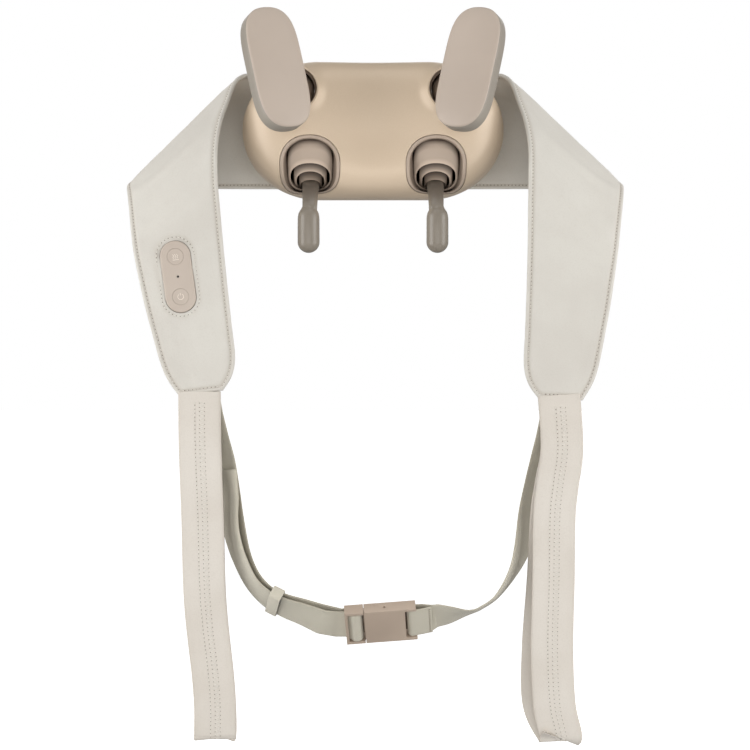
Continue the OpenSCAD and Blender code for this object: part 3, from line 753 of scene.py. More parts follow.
# ---- bezels and hoods ----
def bezels():
    steps = 140
    outer = arch(*BEZEL_OUTSIDE, steps) * 0.985
    inner = arch(*BEZEL_INSIDE, steps)
    # share of the way in from the outer edge, and depth behind the pod's front
    profile = [(0, 2.6), (0, 0.4), (0.05, -0.1), (0.14, -0.4), (0.45, -0.55), (0.74, -0.4),
               (0.86, 0.1), (0.95, 1.0), (1.0, 2.0)]
    for name, side in SIDES.items():
        rings, painted_shade = [], []
        for k in range(steps):
            up = max(0.0, math.sin(2 * math.pi * k / steps))
            skirt = 3 + 4.5 * (1 - up)
            ring = []
            reach = 0.12 + 0.7 * float(smooth(1 - up / 0.55))
            back = [(1 + reach / 2, skirt * 0.55), (1 + reach, skirt), (0.9, skirt), (0.68, 2.6)]
            for share, depth in profile + back:
                x, z = outer[k] + (inner[k] - outer[k]) * share + [FINGER_X, BEZEL_Z]
                ring.append((x, float(pod_front(x, z)) + depth, z))
                # painted shade on the bezel's inner wall, darker the further back it goes
                painted_shade.append(0.8 * float(smooth((depth - 0.3) / 3.0)) if share > 0.5 else 0.0)
            rings.append(ring)
        node = f"{name}_bezel"
        made = mirrored(hoop(rings), side)
        piece = mesh_piece(node + "_frame", *made, LOOKS["taupe_plastic"], None, None)
        mark(piece, "painted_shade", painted_shade)
        placed(piece, "casing", [node])


# outer radius, lowest and highest angle, half width;
# middle angle, half height and half width of the mouth
HOODS = {
    "outer": (47.8, -56, 8.5, 20.8, -35.8, 14.9, 18.2),
    "middle": (44.7, -61, -14, 15.3, -43.8, 11.5, 12.7),
    "inner": (41.2, -70, -24, 10.7, -54, 7, 8.7),
}
HOOD_T = 1.6
HOOD_EDGE, HOOD_SIDE = 1.7, 7.5   # how deep the edge is above and below, and at the sides
SHADOW_REACH = 6.8


def on_hood(radius, depth, across, up, middle):
    """A point on a hood: so far across and up its outside, and so deep under it."""
    angle = math.radians(middle) + up / radius
    r = math.sqrt(max((radius - depth) ** 2 - across ** 2, 1))
    return (FINGER_X + across, FINGER_YZ[0] - r * math.cos(angle), FINGER_YZ[1] + r * math.sin(angle))


def inside(points, outline):
    """Which points lie inside an outline, seen from the front."""
    x, z = points[:, :1], points[:, 2:]
    a, b = outline, np.roll(outline, -1, 0)
    rise = np.where(np.abs(b[:, 2] - a[:, 2]) < 1e-9, 1e-9, b[:, 2] - a[:, 2])
    over = ((a[:, 2] > z) != (b[:, 2] > z)) & (x < (b[:, 0] - a[:, 0]) * (z - a[:, 2]) / rise + a[:, 0])
    return over.sum(1) % 2 == 1


def from_outline(points, outline):
    """Distance of each point from a closed outline, seen from the front."""
    outline = outline * [1, 0, 1]
    return from_line(points * [1, 0, 1], np.concatenate([outline, outline[:1]]))


def in_shadow_of(points, outline, reach):
    """1 at an outline and outside it, and 0 further in than the reach, seen from the front."""
    near = 1 - smooth(from_outline(points, outline) / reach)
    return np.where(inside(points, outline), near, 1.0)


def hoods():
    steps = 112
    x, z = (arch(*BEZEL_INSIDE, 96) + [FINGER_X, BEZEL_Z]).T
    around = np.stack([x, 0 * x, z], 1)
    for kind, (radius, low, high, width, middle, tall, wide) in HOODS.items():
        scale = radius * math.pi / 180
        mouth = arch(wide, tall, tall, 3.0, steps)
        edge = arch(width, (high - middle) * scale, (middle - low) * scale, 3.2, steps, 4.5)
        rings = []
        for k in range(steps):
            run = edge[k] - mouth[k]
            reach = np.linalg.norm(run)
            run = run / reach
            sideways = smooth((abs(edge[k][0]) / width - 0.55) / 0.4)
            deep = HOOD_EDGE + (HOOD_SIDE - HOOD_EDGE) * float(sideways)
            rows = [(0, 0.8), (0.12, 0.3), (0.5, 0.04)]
            rows += [(0.8 + (reach - 1.6) * s, 0) for s in (0, 0.2, 0.4, 0.6, 0.8, 1)]
            rows += [(reach - 0.35, 0.12), (reach - 0.08, 0.45), (reach, 1.0), (reach, deep)]
            rows += [(reach - 0.9, deep), (reach - 1.2, 1.75), (reach * 0.5, HOOD_T), (0.3, 1.45)]
            rings.append([on_hood(radius, depth, *(mouth[k] + run * q), middle) for q, depth in rows])
        points, faces = hoop(rings)
        mouth_line = np.array([on_hood(radius, 0, *m, middle) for m in mouth])
        # painted shade: darker just inside the mouth of the bezel or hood in front, where that edge overhangs this
        # hood
        painted_shade = in_shadow_of(points, around, SHADOW_REACH)
        # painted highlight: a lighter band along this hood's own mouth
        rim = 1 - smooth((from_outline(points, mouth_line) - 1.3) / 0.9)
        around = mouth_line
        for name, side in SIDES.items():
            node = f"{name}_{kind}_hood"
            made = mirrored((points, faces), side)
            piece = mesh_piece(node + "_shell", *made, LOOKS["taupe_plastic"], None, None)
            mark(piece, "painted_shade", painted_shade)
            mark(piece, "rim", rim)
            placed(piece, BODY_OF[node], [node])


# ---- fingers: rows of [y, z, half width, half height] ----
FINGER_NECK = [
    (33, -27, 7.5, 4.6), (26, -38, 7.8, 4.2), (20, -47, 8, 3.8), (14.1, -51.4, 8, 3.8),
    (7, -54.3, 8, 3.9), (0, -57.8, 7.6, 4.5), (-7, -63, 7.2, 5.5), (-13, -69.5, 7, 6.4),
    (-17, -75, 6.8, 6.7), (-18.2, -78.5, 6.7, 6.7), (-18.8, -82.5, 6, 6),
]
FINGER_HEAD = [
    (-17.6, -75.4, 6.2, 6.2), (-18.2, -77, 6.9, 6.9), (-18.6, -78.9, 8.2, 8.2), (-19, -81, 9.2, 9.2),
    (-19.6, -84.5, 9.9, 9.9), (-20.2, -90, 10, 10), (-20.4, -98, 10, 10), (-20.2, -106.5, 10, 10),
] + [(-20.2 + 0.7 * math.sin(a), -106.9 - 10 * math.sin(a), 10 * math.cos(a), 10 * math.cos(a))
     for a in np.radians([12, 24, 36, 48, 60, 70, 78, 84, 88])]


def finger_bar(rows, x, squareness):
    rows = curve_through(rows, 6)
    along = unit(np.gradient(rows[:, :2], axis=0))
    shape = superellipse(1, 1, squareness, 40)
    rings = []
    for (y, z, wide, tall), (dy, dz) in zip(rows, along):
        rings.append([(x + wide * a, y + tall * b * dz, z - tall * b * dy) for a, b in shape])
    return skin(rings)


def fingers():
    for name, side in SIDES.items():
        for part, rows, x, squareness in (("arm", FINGER_NECK, FINGER_X - 0.4, 2.9),
                                          ("tip", FINGER_HEAD, FINGER_X + 0.6, 2.0)):
            node = f"{name}_finger_{part}"
            points, faces = mirrored(finger_bar(rows, x, squareness), side)
            piece = mesh_piece(node + "_skin", points, faces, LOOKS["silicone"], None, None)
            up = points[:, 2]
            # painted shade on the finger's neck, darkest at its top under the hoods; none on the tip
            mark(piece, "painted_shade", 0.08 + 0.4 * smooth((up + 76) / 16) if part == "arm" else 0 * up)
            placed(piece, BODY_OF[node], [node])


# ---- paddles ----
PADDLE_AT = np.array([83.4, -45.5, 50])
PADDLE_TURN = np.radians([-13.3, 6.9, -28])
PADDLE_W, PADDLE_L, PADDLE_T = 51, 114, 20
PAD_T = 4.2
BALL_R = 18


def turned(points, angles):
    """Points turned about X, then Y, then Z."""
    a, b, c = angles
    rx = np.array([[1, 0, 0], [0, math.cos(a), -math.sin(a)], [0, math.sin(a), math.cos(a)]])
    ry = np.array([[math.cos(b), 0, math.sin(b)], [0, 1, 0], [-math.sin(b), 0, math.cos(b)]])
    rz = np.array([[math.cos(c), -math.sin(c), 0], [math.sin(c), math.cos(c), 0], [0, 0, 1]])
    return np.asarray(points) @ (rz @ ry @ rx).T


def paddle_slab(rows):
    """A slab of the paddle's outline: rows of depth behind the face, and how far it is drawn in."""
    rings = []
    for depth, inset in rows:
        outline = long_oval(PADDLE_W / 2 - inset, PADDLE_L / 2 - inset, 144)
        rings.append([(x, depth, z) for x, z in outline])
    points, faces = skin(rings)
    return turned(points, PADDLE_TURN) + PADDLE_AT, faces


def paddle_hub():
    """The ball on its stem, turned about the stem."""
    ball = [(BALL_R * math.sin(a), -BALL_R * math.cos(a)) for a in np.radians(np.arange(4, 146, 4))]
    stem = [(10.2, 15.4), (10, 17), (10, 40.5)]
    t = np.linspace(0, 2 * np.pi, 72, endpoint=False)
    points, faces = skin([np.stack([r * np.cos(t), r * np.sin(t), np.full(72, h)], 1)
                          for r, h in ball + stem])
    centre = np.array(JOINTS["right_paddle_tip"]["pos_m"]) / MM
    return turned(points, np.radians([93, 0, 9])) + centre, faces


def paddles():
    half = PADDLE_W / 2
    crown = 2.6
    dome = [(PAD_T * (1 - (1 - (q / half) ** crown) ** (1 / crown)), half - q)
            for q in half * np.sin(np.radians(np.arange(3, 90, 5)))]
    pad = dome + [(PAD_T - 0.2, 0.05), (PAD_T, 0.4)]
    base = [(PAD_T + 0.1, 0.7), (PAD_T + 0.2, 0.2), (PAD_T + 0.5, 0), (9, 0), (PADDLE_T - 3, 0.05),
            (PADDLE_T - 2, 0.3), (PADDLE_T - 1.1, 0.9), (PADDLE_T - 0.5, 1.8), (PADDLE_T - 0.12, 3),
            (PADDLE_T, 4.6), (PADDLE_T, 14)]
    for name, side in SIDES.items():
        for part, made, look in (("pad", paddle_slab(pad), "paddle_skin"),
                                 ("base", paddle_slab(base), "grey_plastic"),
                                 ("hub", paddle_hub(), "taupe_plastic")):
            node = f"{name}_paddle_{part}"
            mesh_piece(node + "_body", *mirrored(made, side), LOOKS[look], BODY_OF[node], look, [node])


# ---- padded arms and band ----
# the arm's inner and outer edge, from behind the pod over the shoulder and down to its end
EDGE_PAIRS = np.array([
    [[52.4, 77.5, 57], [52.4, 77.5, -50]], [[80, 76, 57.5], [100, 75, -50]],
    [[103, 68, 58], [150, 67, -50.5]], [[115, 54, 57], [192, 54, -51]],
    [[121, 40, 54.5], [217, 40, -51]], [[127.5, 25, 46], [228, 26, -51.5]],
    [[132.5, 8, 27], [231.5, 14, -54]], [[138.5, -6, 5], [230.5, 2, -62]],
    [[141.5, -17, -19], [228, -10, -76]], [[141, -27, -48], [225, -21, -94]],
    [[140, -33, -80], [222, -30, -114]], [[139.5, -36, -108], [219, -36, -132]],
    [[138.5, -36, -150], [214.5, -36, -163]], [[137, -36, -190], [209, -36, -193]],
    [[136, -36, -219], [203.5, -36, -220]], [[140, -36, -236], [198, -36, -236]],
    [[149, -36, -249], [189, -36, -251]],
], float)
LEFT_LEAN = 0.07
EDGE_R = 2.0                      # the rolled edge
GROOVE_AT, GROOVE_T = 4.0, 1.45   # the stitched groove: how far in, and half the thickness there
PAD_HALF = 3.0                    # half the thickness in the middle
CONTROL_AT = (-175.5, -139.5)
CONTROL_TILT = math.radians(-7.7)
CONTROL_W, CONTROL_H = 28.5, 66
PANEL_SEAM = 2.9                  # the stitches round the panel are this far outside it
PANEL_HALF = 2.9                  # half the arm's thickness under the panel
HOLE_BACK = -34.2                 # the panel's hole ends inside the arm
STITCH_LIFT = 0.18
NEAR_EDGE = [0, 0.12, 0.5, 1.1, 1.9, 2.6, 3.3, 3.8, 4.3, 5, 6.2, 8.2, 11, 14, 18]


def leaned(p, lean):
    """Turned inwards below the shoulder, and drawn up a little as it turns."""
    u = np.maximum(0, -52 - p[..., 2])
    corner = np.exp(-((p[..., 2] + 58) / 40) ** 2)
    x = p[..., 0] - lean * u - 55 * lean * corner * smooth((p[..., 0] - 150) / 60)
    z = p[..., 2] + u * lean / 4 + lean * (200 - p[..., 0]) * smooth(u / 100)
    return np.stack([x, p[..., 1], z], -1)


def half_thickness(d):
    """Half the arm's thickness at a distance from its edge."""
    roll = EDGE_R * np.sqrt(np.clip(1 - (1 - np.minimum(d, EDGE_R) / EDGE_R) ** 2, 0, 1))
    dip = (EDGE_R - GROOVE_T) * np.exp(-((d - GROOVE_AT) / 1.3) ** 2)
    return roll - dip + (PAD_HALF - EDGE_R) * smooth((d - GROOVE_AT - 0.4) / 15)


def to_panel(points):
    """Distance of points from the outline of the control panel, below zero inside it."""
    dx, dz = points[..., 0] - CONTROL_AT[0], points[..., 2] - CONTROL_AT[1]
    c, s = math.cos(CONTROL_TILT), math.sin(CONTROL_TILT)
    across, up = dx * c - dz * s, dx * s + dz * c
    high = np.maximum(np.abs(up) - (CONTROL_H - CONTROL_W) / 2, 0)
    return np.hypot(across, high) - CONTROL_W / 2


def from_line(points, line):
    """Distance of each point from a polyline."""
    best = np.full(points.shape[:-1], 1e9)
    for a, b in zip(line[:-1], line[1:]):
        ab = b - a
        t = np.clip(((points - a) @ ab) / max(ab @ ab, 1e-9), 0, 1)
        best = np.minimum(best, np.linalg.norm(points - a - t[..., None] * ab, axis=-1))
    return best


def arm_sheet(side):
    """The arm's middle surface, as rows of points across it, and the way it faces."""
    lean = LEFT_LEAN if side < 0 else 0
    pairs = leaned(EDGE_PAIRS, lean)
    inner, outer = curve_through(pairs[:, 0], 24), curve_through(pairs[:, 1], 24)
    middle = lengths((inner + outer) / 2)
    total = middle[-1]
    stations = np.concatenate([np.arange(0, total - 18, 4.2), (total - np.array(NEAR_EDGE))[::-1]])
    inner = np.stack([np.interp(stations, middle, inner[:, k]) for k in range(3)], 1)
    outer = np.stack([np.interp(stations, middle, outer[:, k]) for k in range(3)], 1)
    rows = []
    for a, b in zip(inner, outer):
        width = np.linalg.norm(b - a)
        near = np.array(NEAR_EDGE) * min(1, width / 42)
        at = np.concatenate([near, np.linspace(near[-1], width - near[-1], 16)[1:-1], (width - near)[::-1]])
        rows.append(a + (b - a) * (at / width)[:, None])
    sheet = np.array(rows)
    along = np.gradient(sheet, axis=0)
    across = np.gradient(sheet, axis=1)
    facing = unit(np.cross(across, along))
    return sheet, facing, inner, outer


def padded_solid(sheet, facing, half):
    """A closed pad round a middle surface."""
    n, m = sheet.shape[:2]
    front = (sheet + facing * half[..., None]).reshape(-1, 3)
    back = (sheet - facing * half[..., None]).reshape(-1, 3)
    count = n * m
    faces = []
    for i in range(n - 1):
        for j in range(m - 1):
            a, b, c, d = i * m + j, i * m + j + 1, (i + 1) * m + j + 1, (i + 1) * m + j
            faces += [(a, b, c, d), (d + count, c + count, b + count, a + count)]
    rim = [(0, j) for j in range(m)] + [(i, m - 1) for i in range(1, n)]
    rim += [(n - 1, j) for j in range(m - 2, -1, -1)] + [(i, 0) for i in range(n - 2, 0, -1)]
    for (i, j), (k, l) in zip(rim, rim[1:] + rim[:1]):
        a, b = i * m + j, k * m + l
        faces.append((b, a, a + count, b + count))
    return np.concatenate([front, back]), faces


CLOTH = {"quality": 4, "mass": 0.3, "tension_stiffness": 18, "compression_stiffness": 18,
         "bending_stiffness": 1.5, "use_pressure": True, "uniform_pressure_force": 4.0,
         "vertex_group_mass": "held"}
CLOTH_FRAMES = 20


def inflate(piece, held, cap):
    """Swells a pad with cloth simulation.

    The held points stay, and no point moves further than the cap, in millimetres.
    """
    rest = np.array([v.co for v in piece.data.vertices])
    group = piece.vertex_groups.new(name="held")
    for index, weight in enumerate(held):
        if weight > 0:
            group.add([index], float(weight), "REPLACE")
    cloth = piece.modifiers.new("cloth", "CLOTH")
    for setting, value in CLOTH.items():
        setattr(cloth.settings, setting, value)
    cloth.settings.effector_weights.gravity = 0
    cloth.collision_settings.use_collision = False
    cloth.point_cache.frame_start = 1
    cloth.point_cache.frame_end = CLOTH_FRAMES
    for frame_number in range(1, CLOTH_FRAMES + 1):
        bpy.context.scene.frame_set(frame_number)
    bake_modifiers(piece)
    piece.vertex_groups.clear()
    swollen = np.array([v.co for v in piece.data.vertices])
    move = swollen - rest
    size = np.linalg.norm(move, axis=1, keepdims=True)
    move *= np.minimum(1, cap * MM / np.maximum(size, 1e-9))
    piece.data.vertices.foreach_set("co", (rest + move).astype(np.float32).ravel())
    piece.data.update()
    bpy.context.scene.frame_set(1)


def mark(piece, name, values):
    """A number at each point, for the material to read."""
    attribute = piece.data.attributes.new(name, "FLOAT", "POINT")
    attribute.data.foreach_set("value", np.asarray(values, np.float32))


# How much painted shade the leather takes in and beside its stitched groove.
def groove_shade(d):
    return np.exp(-((d - GROOVE_AT) / 1.5) ** 2)


def arms():
    for name, side in SIDES.items():
        sheet, facing, inner, outer = arm_sheet(side)
        d = np.minimum(from_line(sheet, inner), from_line(sheet, outer))
        d = np.minimum(d, from_line(sheet, np.array([inner[-1], outer[-1]])))
        half = half_thickness(d)
        shade = groove_shade(d)
        sheet = sheet * [side, 1, 1]
        facing = facing * [side, 1, 1]
        if side < 0:
            panel = to_panel(sheet)
            near = np.where(facing[..., 1] < 0, 1 - smooth((panel - 5) / 8), 0)
            half = half + (PANEL_HALF - half) * near
            # painted shade also along the stitches round the control panel
            shade = np.maximum(shade, groove_shade(panel + GROOVE_AT - PANEL_SEAM) * 0.6)
        node = f"{name}_arm"
        points, faces = padded_solid(sheet, facing, half)
        piece = mesh_piece(node + "_pad", points, faces, LOOKS["leather"], None, None)
        held = 1 - smooth((d - GROOVE_AT) / 6)
        if side < 0:
            held = np.maximum(held, 1 - smooth((panel - 3) / 5))
        inflate(piece, np.tile(held.ravel(), 2), 1.6)
        mark(piece, "groove", np.tile(shade.ravel(), 2))
        if side < 0:
            cut(piece, bar_y(control_outline(0), CUT_FROM, HOLE_BACK))
        tidy(piece, sharp=60)
        placed(piece, "casing", [node])
        sew_arm(name, side, inner, outer)


def inset_line(edge, other, distance):
    """The edge's line moved inwards, towards the other edge."""
    return edge + unit(other - edge) * distance


def sew_arm(name, side, inner, outer):
    """Rows of stitches along both edges and the bottom, on the side that shows and on the back."""
    middle_facing = unit(np.cross(outer - inner, np.gradient((inner + outer) / 2, axis=0)))
    bottom = np.array([inner[-1] + (outer[-1] - inner[-1]) * t for t in np.linspace(0.12, 0.88, 30)])
    up = unit((inner[-6] + outer[-6]) - (inner[-1] + outer[-1]))
    rows = []
    for sign in (1, -1):
        lift = middle_facing * (GROOVE_T + STITCH_LIFT) * sign
        keep = slice(8, -4)
        rows.append((inset_line(inner, outer, GROOVE_AT) + lift)[keep])
        rows.append((inset_line(outer, inner, GROOVE_AT) + lift)[keep])
        rows.append(bottom + up * GROOVE_AT + lift[-1])
    rows = [row * [side, 1, 1] for row in rows]
    sewn(f"{name}_arm", rows, "casing", "leather")


def back_band():
    """The padded band behind the pod, between the two arms."""
    low, high = box_mm("back_band")
    xs = np.linspace(low[0], high[0], 30)
    near = np.array(NEAR_EDGE)
    tall = high[2] - low[2]
    zs = low[2] + np.concatenate([near, np.linspace(18, tall - 18, 12)[1:-1], (tall - near)[::-1]])
    sheet = np.array([[(x, (low[1] + high[1]) / 2, z) for z in zs] for x in xs])
    facing = np.broadcast_to(np.array([0.0, 1.0, 0.0]), sheet.shape)
    d = np.minimum(sheet[..., 2] - low[2], high[2] - sheet[..., 2])
    ends = np.minimum(sheet[..., 0] - low[0], high[0] - sheet[..., 0])
    half = half_thickness(d) - 0.5 * np.exp(-(ends / 2.5) ** 2) * smooth(d / 4)
    points, faces = padded_solid(sheet, facing, half)
    piece = mesh_piece("back_band_pad", points, faces, LOOKS["leather"], None, None)
    held = np.maximum(1 - smooth((d - GROOVE_AT) / 6), 1 - smooth(ends / 5))
    inflate(piece, np.tile(held.ravel(), 2), 1.5)
    mark(piece, "groove", np.tile(groove_shade(d).ravel(), 2))
    tidy(piece, sharp=60)
    placed(piece, "casing", ["back_band"])
    y = high[1] - PAD_HALF + GROOVE_T + STITCH_LIFT
    lines = [np.array([[x, y, z] for x in xs[1:-1]])
             for z in (low[2] + GROOVE_AT, high[2] - GROOVE_AT)]
    seams = [np.array([[x, y, z] for z in np.linspace(low[2] + 7, high[2] - 7, 40)])
             for x in (low[0] + 3.2, high[0] - 3.2)]
    sewn("back_band", lines + seams, "casing", "leather", facing=(0, 1, 0))


# ---- straps ----
def strip(route, across, width, thick):
    """A flat strap along a route, with thinner edges.

    Its points, its faces, each point's place across and along it in millimetres, its length and
    the way that its face points.
    """
    route, across = np.asarray(route, float), np.asarray(across, float)
    along = unit(np.gradient(route, axis=0))
    side = unit(across - (across * along).sum(1, keepdims=True) * along)
    face = unit(np.cross(along, side))
    u = np.array([-1, -0.975, -0.93, -0.86, -0.6, -0.3, 0, 0.3, 0.6, 0.86, 0.93, 0.975, 1])
    h = np.array([0.3, 0.7, 0.93, 1, 1, 1, 1, 1, 1, 1, 0.93, 0.7, 0.3])
    ring_u = np.concatenate([u, u[::-1]])
    ring_h = np.concatenate([h, -h[::-1]])
    rings = (route[:, None] + side[:, None] * (ring_u * width / 2)[None, :, None]
             + face[:, None] * (ring_h * thick / 2)[None, :, None])
    points, faces = skin(rings)
    distance = lengths(route)
    n, m = len(route), len(ring_u)
    place = np.stack([np.tile((ring_u + 1) * width / 2, n), np.repeat(distance, m)], 1)
    place = np.concatenate([place, [[width / 2, 0]], [[width / 2, distance[-1]]]])
    return points, faces, place, distance[-1], face


def strap_piece(name, made, look, edge):
    """A strap with its cloth map, and its two edges marked for the material."""
    points, faces, place = made[:3]
    piece = mesh_piece(name, points, faces, LOOKS[look], None, None)
    layer = piece.data.uv_layers.new(name="cloth")
    corners = np.zeros(len(piece.data.loops), np.int32)
    piece.data.loops.foreach_get("vertex_index", corners)
    layer.data.foreach_set("uv", place[corners].astype(np.float32).ravel())
    width = place[:, 0].max()
    mark(piece, edge, np.abs(place[:, 0] / width * 2 - 1) ** 14)
    return piece


PANEL_Y = -36                     # depth at which the arms' lower ends hang
HAND_W, HAND_T = 38, 1.8
# rows of [x, z, bow of the front layer, bow of the back layer, shift of the back layer]
LEFT_LOOP = [
    (-156.4, -243, 0, 0, 0), (-156, -291, 1, 2, 0), (-153.5, -354, 3, 5, -0.5),
    (-151, -431, 4, 8, -1), (-144, -497, 4, 9, -1.5), (-142, -527, 3, 7, -1), (-142.2, -549, 1, 3, 0),
]
RIGHT_LOOP = [
    (167.7, -246, 0, 0, 0), (170.4, -294, 1, 2, 0), (166, -328, 2, 4, -1), (163.2, -356, 3, 5, -2),
    (162.3, -414, 4, 8, -4), (161, -474, 4, 9, -7), (163.2, -524, 3, 8, -9), (169, -551, 1, 3, -2),
]


def hand_straps():
    for name, rows in (("left", LEFT_LOOP), ("right", RIGHT_LOOP)):
        front = [(r[0], PANEL_Y - 1.6 - r[2], r[1]) for r in rows]
        back = [(r[0] + r[4], PANEL_Y + 1.6 + r[3], r[1]) for r in rows[::-1]]
        x, z = rows[-1][:2]
        fold = [(x, PANEL_Y - 1.5, z - 4.5), (x - 0.3, PANEL_Y + 0.5, z - 6.5),
                (x - 0.6, PANEL_Y + 3, z - 4.5)]
        route = curve_through(front + fold + back, 10)
        made = strip(route, [(1, 0, 0.02)] * len(route), HAND_W, HAND_T)
        node = f"{name}_hand_strap"
        piece = strap_piece(node + "_leather", made, "strap_leather", "groove")
        placed(piece, "casing", [node])
        made[3] * MM
        outwards = 1 if made[4][10][1] < 0 else -1
        seam = route[3:-3] + made[4][3:-3] * outwards * (HAND_T / 2 + 0.05)
        straight = seam + [-4.0, 0, 0]
        sewn(node, [straight], "casing", "strap_leather", pitch=3.6)
        zigzag = stitch_row(node + "_zigzag", [seam + [2.4, 0, 0]], 1.9, 5.2, 0.26, THREAD,
                            slant=2.2)
        placed(zigzag, "casing")
        ends = [seam + [x, 0, 0] for x in (0.1, 4.7)]
        holes = stitch_row(node + "_zigzag_holes", ends, 3.8, 0.8, 0.36, HOLE_SHADE)
        placed(holes, "casing")


BELT_W, BELT_T = 32, 1.6
# rows of [x, y, z, turn of the webbing out of the XZ plane]
LEFT_BELT = [
    (-155, -30, -243, 0), (-152, -28, -262, 8), (-145, -25, -285, 25), (-137, -22, -308, 38),
    (-130.5, -21, -333, 50), (-124.5, -22, -361, 58), (-117.5, -25, -390, 62), (-108, -29, -411, 62),
    (-95, -32, -426, 57), (-80, -34, -434, 52), (-62, -35, -440, 46), (-46, -34, -446, 40),
]
LEFT_TAIL = [
    (-46, -39, -450.5, 40), (-62, -38.5, -444, 46), (-80, -37, -437.8, 52), (-96, -35, -429.5, 57),
    (-110, -32.5, -415.5, 62), (-121, -29.5, -394, 62), (-127.5, -26.8, -374, 60),
    (-130, -25.8, -357, 58), (-131, -25.6, -338, 52), (-134.5, -27, -314, 44),
]
RIGHT_BELT = [
    (168, -30, -246, 0), (167, -28, -265, 5), (163, -24, -284, 18), (157, -20, -303, 30),
    (149.5, -18.5, -325, 42), (142, -19, -352, 50), (136, -22, -384, 57), (126, -27, -408, 70),
    (112, -31, -428, 78), (98, -34, -438, 79), (86, -35.5, -442.5, 76), (69.5, -37, -444.5, 55),
    (56, -38.5, -445, 42),
]
BUCKLE_AT = np.array([7.2, -40, -450.7])
BUCKLE_TIP, BUCKLE_ROLL = math.radians(38), math.radians(-4.3)


def in_buckle(p):
    """A point given in the buckle's own frame: along it, back through it, up across it."""
    return turned([p], (BUCKLE_TIP, BUCKLE_ROLL, 0))[0] + BUCKLE_AT


def belt_across(rows, side):
    rows = np.asarray(rows, float)
    flat = unit(np.stack([np.concatenate([[rows[1, k] - rows[0, k]], rows[2:, k] - rows[:-2, k],
                                          [rows[-1, k] - rows[-2, k]]]) for k in (0, 2)], 1))
    turn = np.radians(rows[:, 3])
    return np.stack([-flat[:, 1] * side * np.cos(turn), -np.sin(turn), flat[:, 0] * side * np.cos(turn)], 1)


def wrap(x, r, start, end, steps):
    return [(x + r * math.cos(t), r * math.sin(t), 0)
            for t in np.radians(np.linspace(start, end, steps + 1))]


def webbing():
    up = in_buckle((0, 0, 1)) - BUCKLE_AT
    fine = 7
    turn = [(-36, 5.6, 0), (-28, 5.6, 0)] + wrap(-22.5, 5.5, 90, -120, 24)
    turn += [(-29, -1, 0), (-33, 1.6, 0), (-40, 2.2, 0)]
    belt, tail = np.array(LEFT_BELT, float), np.array(LEFT_TAIL, float)
    route = np.concatenate([curve_through(belt[:, :3], fine), [in_buckle(p) for p in turn],
                            curve_through(tail[:, :3], fine)])
    across = np.concatenate([curve_through(belt_across(belt, 1), fine), [up] * len(turn),
                             curve_through(belt_across(tail, -1), fine)])
    made = strip(route, across, BELT_W, BELT_T)
    piece = strap_piece("left_webbing_weave", made, "webbing", "selvedge")
    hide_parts("left_webbing")
    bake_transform(piece)
    made[3] * MM

    turn = [(46, 1.7, 0), (38, 3.4, 0)] + wrap(28, 3.7, 90, 270, 20) + [(38, -2.2, 0), (46, -0.7, 0)]
    belt = np.array(RIGHT_BELT, float)
    route = np.concatenate([curve_through(belt[:, :3], fine), [in_buckle(p) for p in turn]])
    across = np.concatenate([curve_through(belt_across(belt, -1), fine), [up] * len(turn)])
    made = strip(route, across, BELT_W, BELT_T)
    piece = strap_piece("right_webbing_weave", made, "webbing", "selvedge")
    placed(piece, "casing", ["right_webbing"])
    made[3] * MM
    line = np.array([in_buckle((43.6, -1.95, z)) for z in np.linspace(-14.5, 14.5, 30)])
    placed(stitch_row("bar_tack", [line], 1.3, 2.6, 0.28, BELT_THREAD, slant=2.2), "casing")


def keeper_and_buckle():
    keeper = from_node("strap_keeper", 0.9)
    world = keeper.matrix_world.copy()
    keeper.parent = None
    keeper.matrix_world = world
    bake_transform(keeper)
    from_node("buckle_receiver", 0.8)
    from_node("buckle_tongue", 0.7)
    # Dark plates behind the buckle's two slots: painted shade, so the slots show dark rather than the white behind
    # them
    shade_plates = []
    box_faces = [(0, 1, 2, 3), (7, 6, 5, 4), (0, 4, 5, 1), (1, 5, 6, 2), (2, 6, 7, 3), (3, 7, 4, 0)]
    for x0, x1 in ((-19.2, -14.6), (21, 24.6)):
        section = ((x0, 1.6), (x1, 1.6), (x1, 2.6), (x0, 2.6))
        corners = [in_buckle((x, y, z)) for z in (-12.5, 12.5) for x, y in section]
        shade_plates.append((np.array(corners), box_faces))
    mesh_piece("buckle_shade_plates", *joined(*shade_plates), LOOKS["dark_plastic"],
               BODY_OF["buckle_receiver"], "taupe_plastic")


# ---- control panel ----
def control_outline(grow):
    """The panel's stadium outline, grown by so much."""
    r = CONTROL_W / 2 + grow
    straight = (CONTROL_H - CONTROL_W) / 2
    t = np.linspace(0, 2 * np.pi, 96, endpoint=False)
    x, z = r * np.cos(t), r * np.sin(t) + np.where(np.sin(t) >= 0, straight, -straight)
    return on_control(np.stack([x, z], 1))


def on_control(points):
    """[x, z] on the panel, from its middle, as [x, z] of the whole object."""
    points = np.atleast_2d(points)
    c, s = math.cos(CONTROL_TILT), math.sin(CONTROL_TILT)
    x, z = points[:, 0], points[:, 1]
    return np.stack([CONTROL_AT[0] + x * c + z * s, CONTROL_AT[1] - x * s + z * c], 1)


BUTTON_UP = 18.2
CASE_FRONT = -39.9
POCKETS = -45, -38.2              # where the button pockets start and end
ICON_W, ICON_T, ICON_Y = 0.55, 0.4, -39.62


def panel_disc(up, rows):
    """A round piece on the panel: rows of [radius, y]."""
    rings = []
    steps = 72
    t = np.linspace(0, 2 * np.pi, steps, endpoint=False)
    for r, y in rows:
        ring = on_control(np.stack([r * np.cos(t), up + r * np.sin(t)], 1))
        rings.append(np.stack([ring[:, 0], np.full(steps, y), ring[:, 1]], 1))
    return skin(rings)


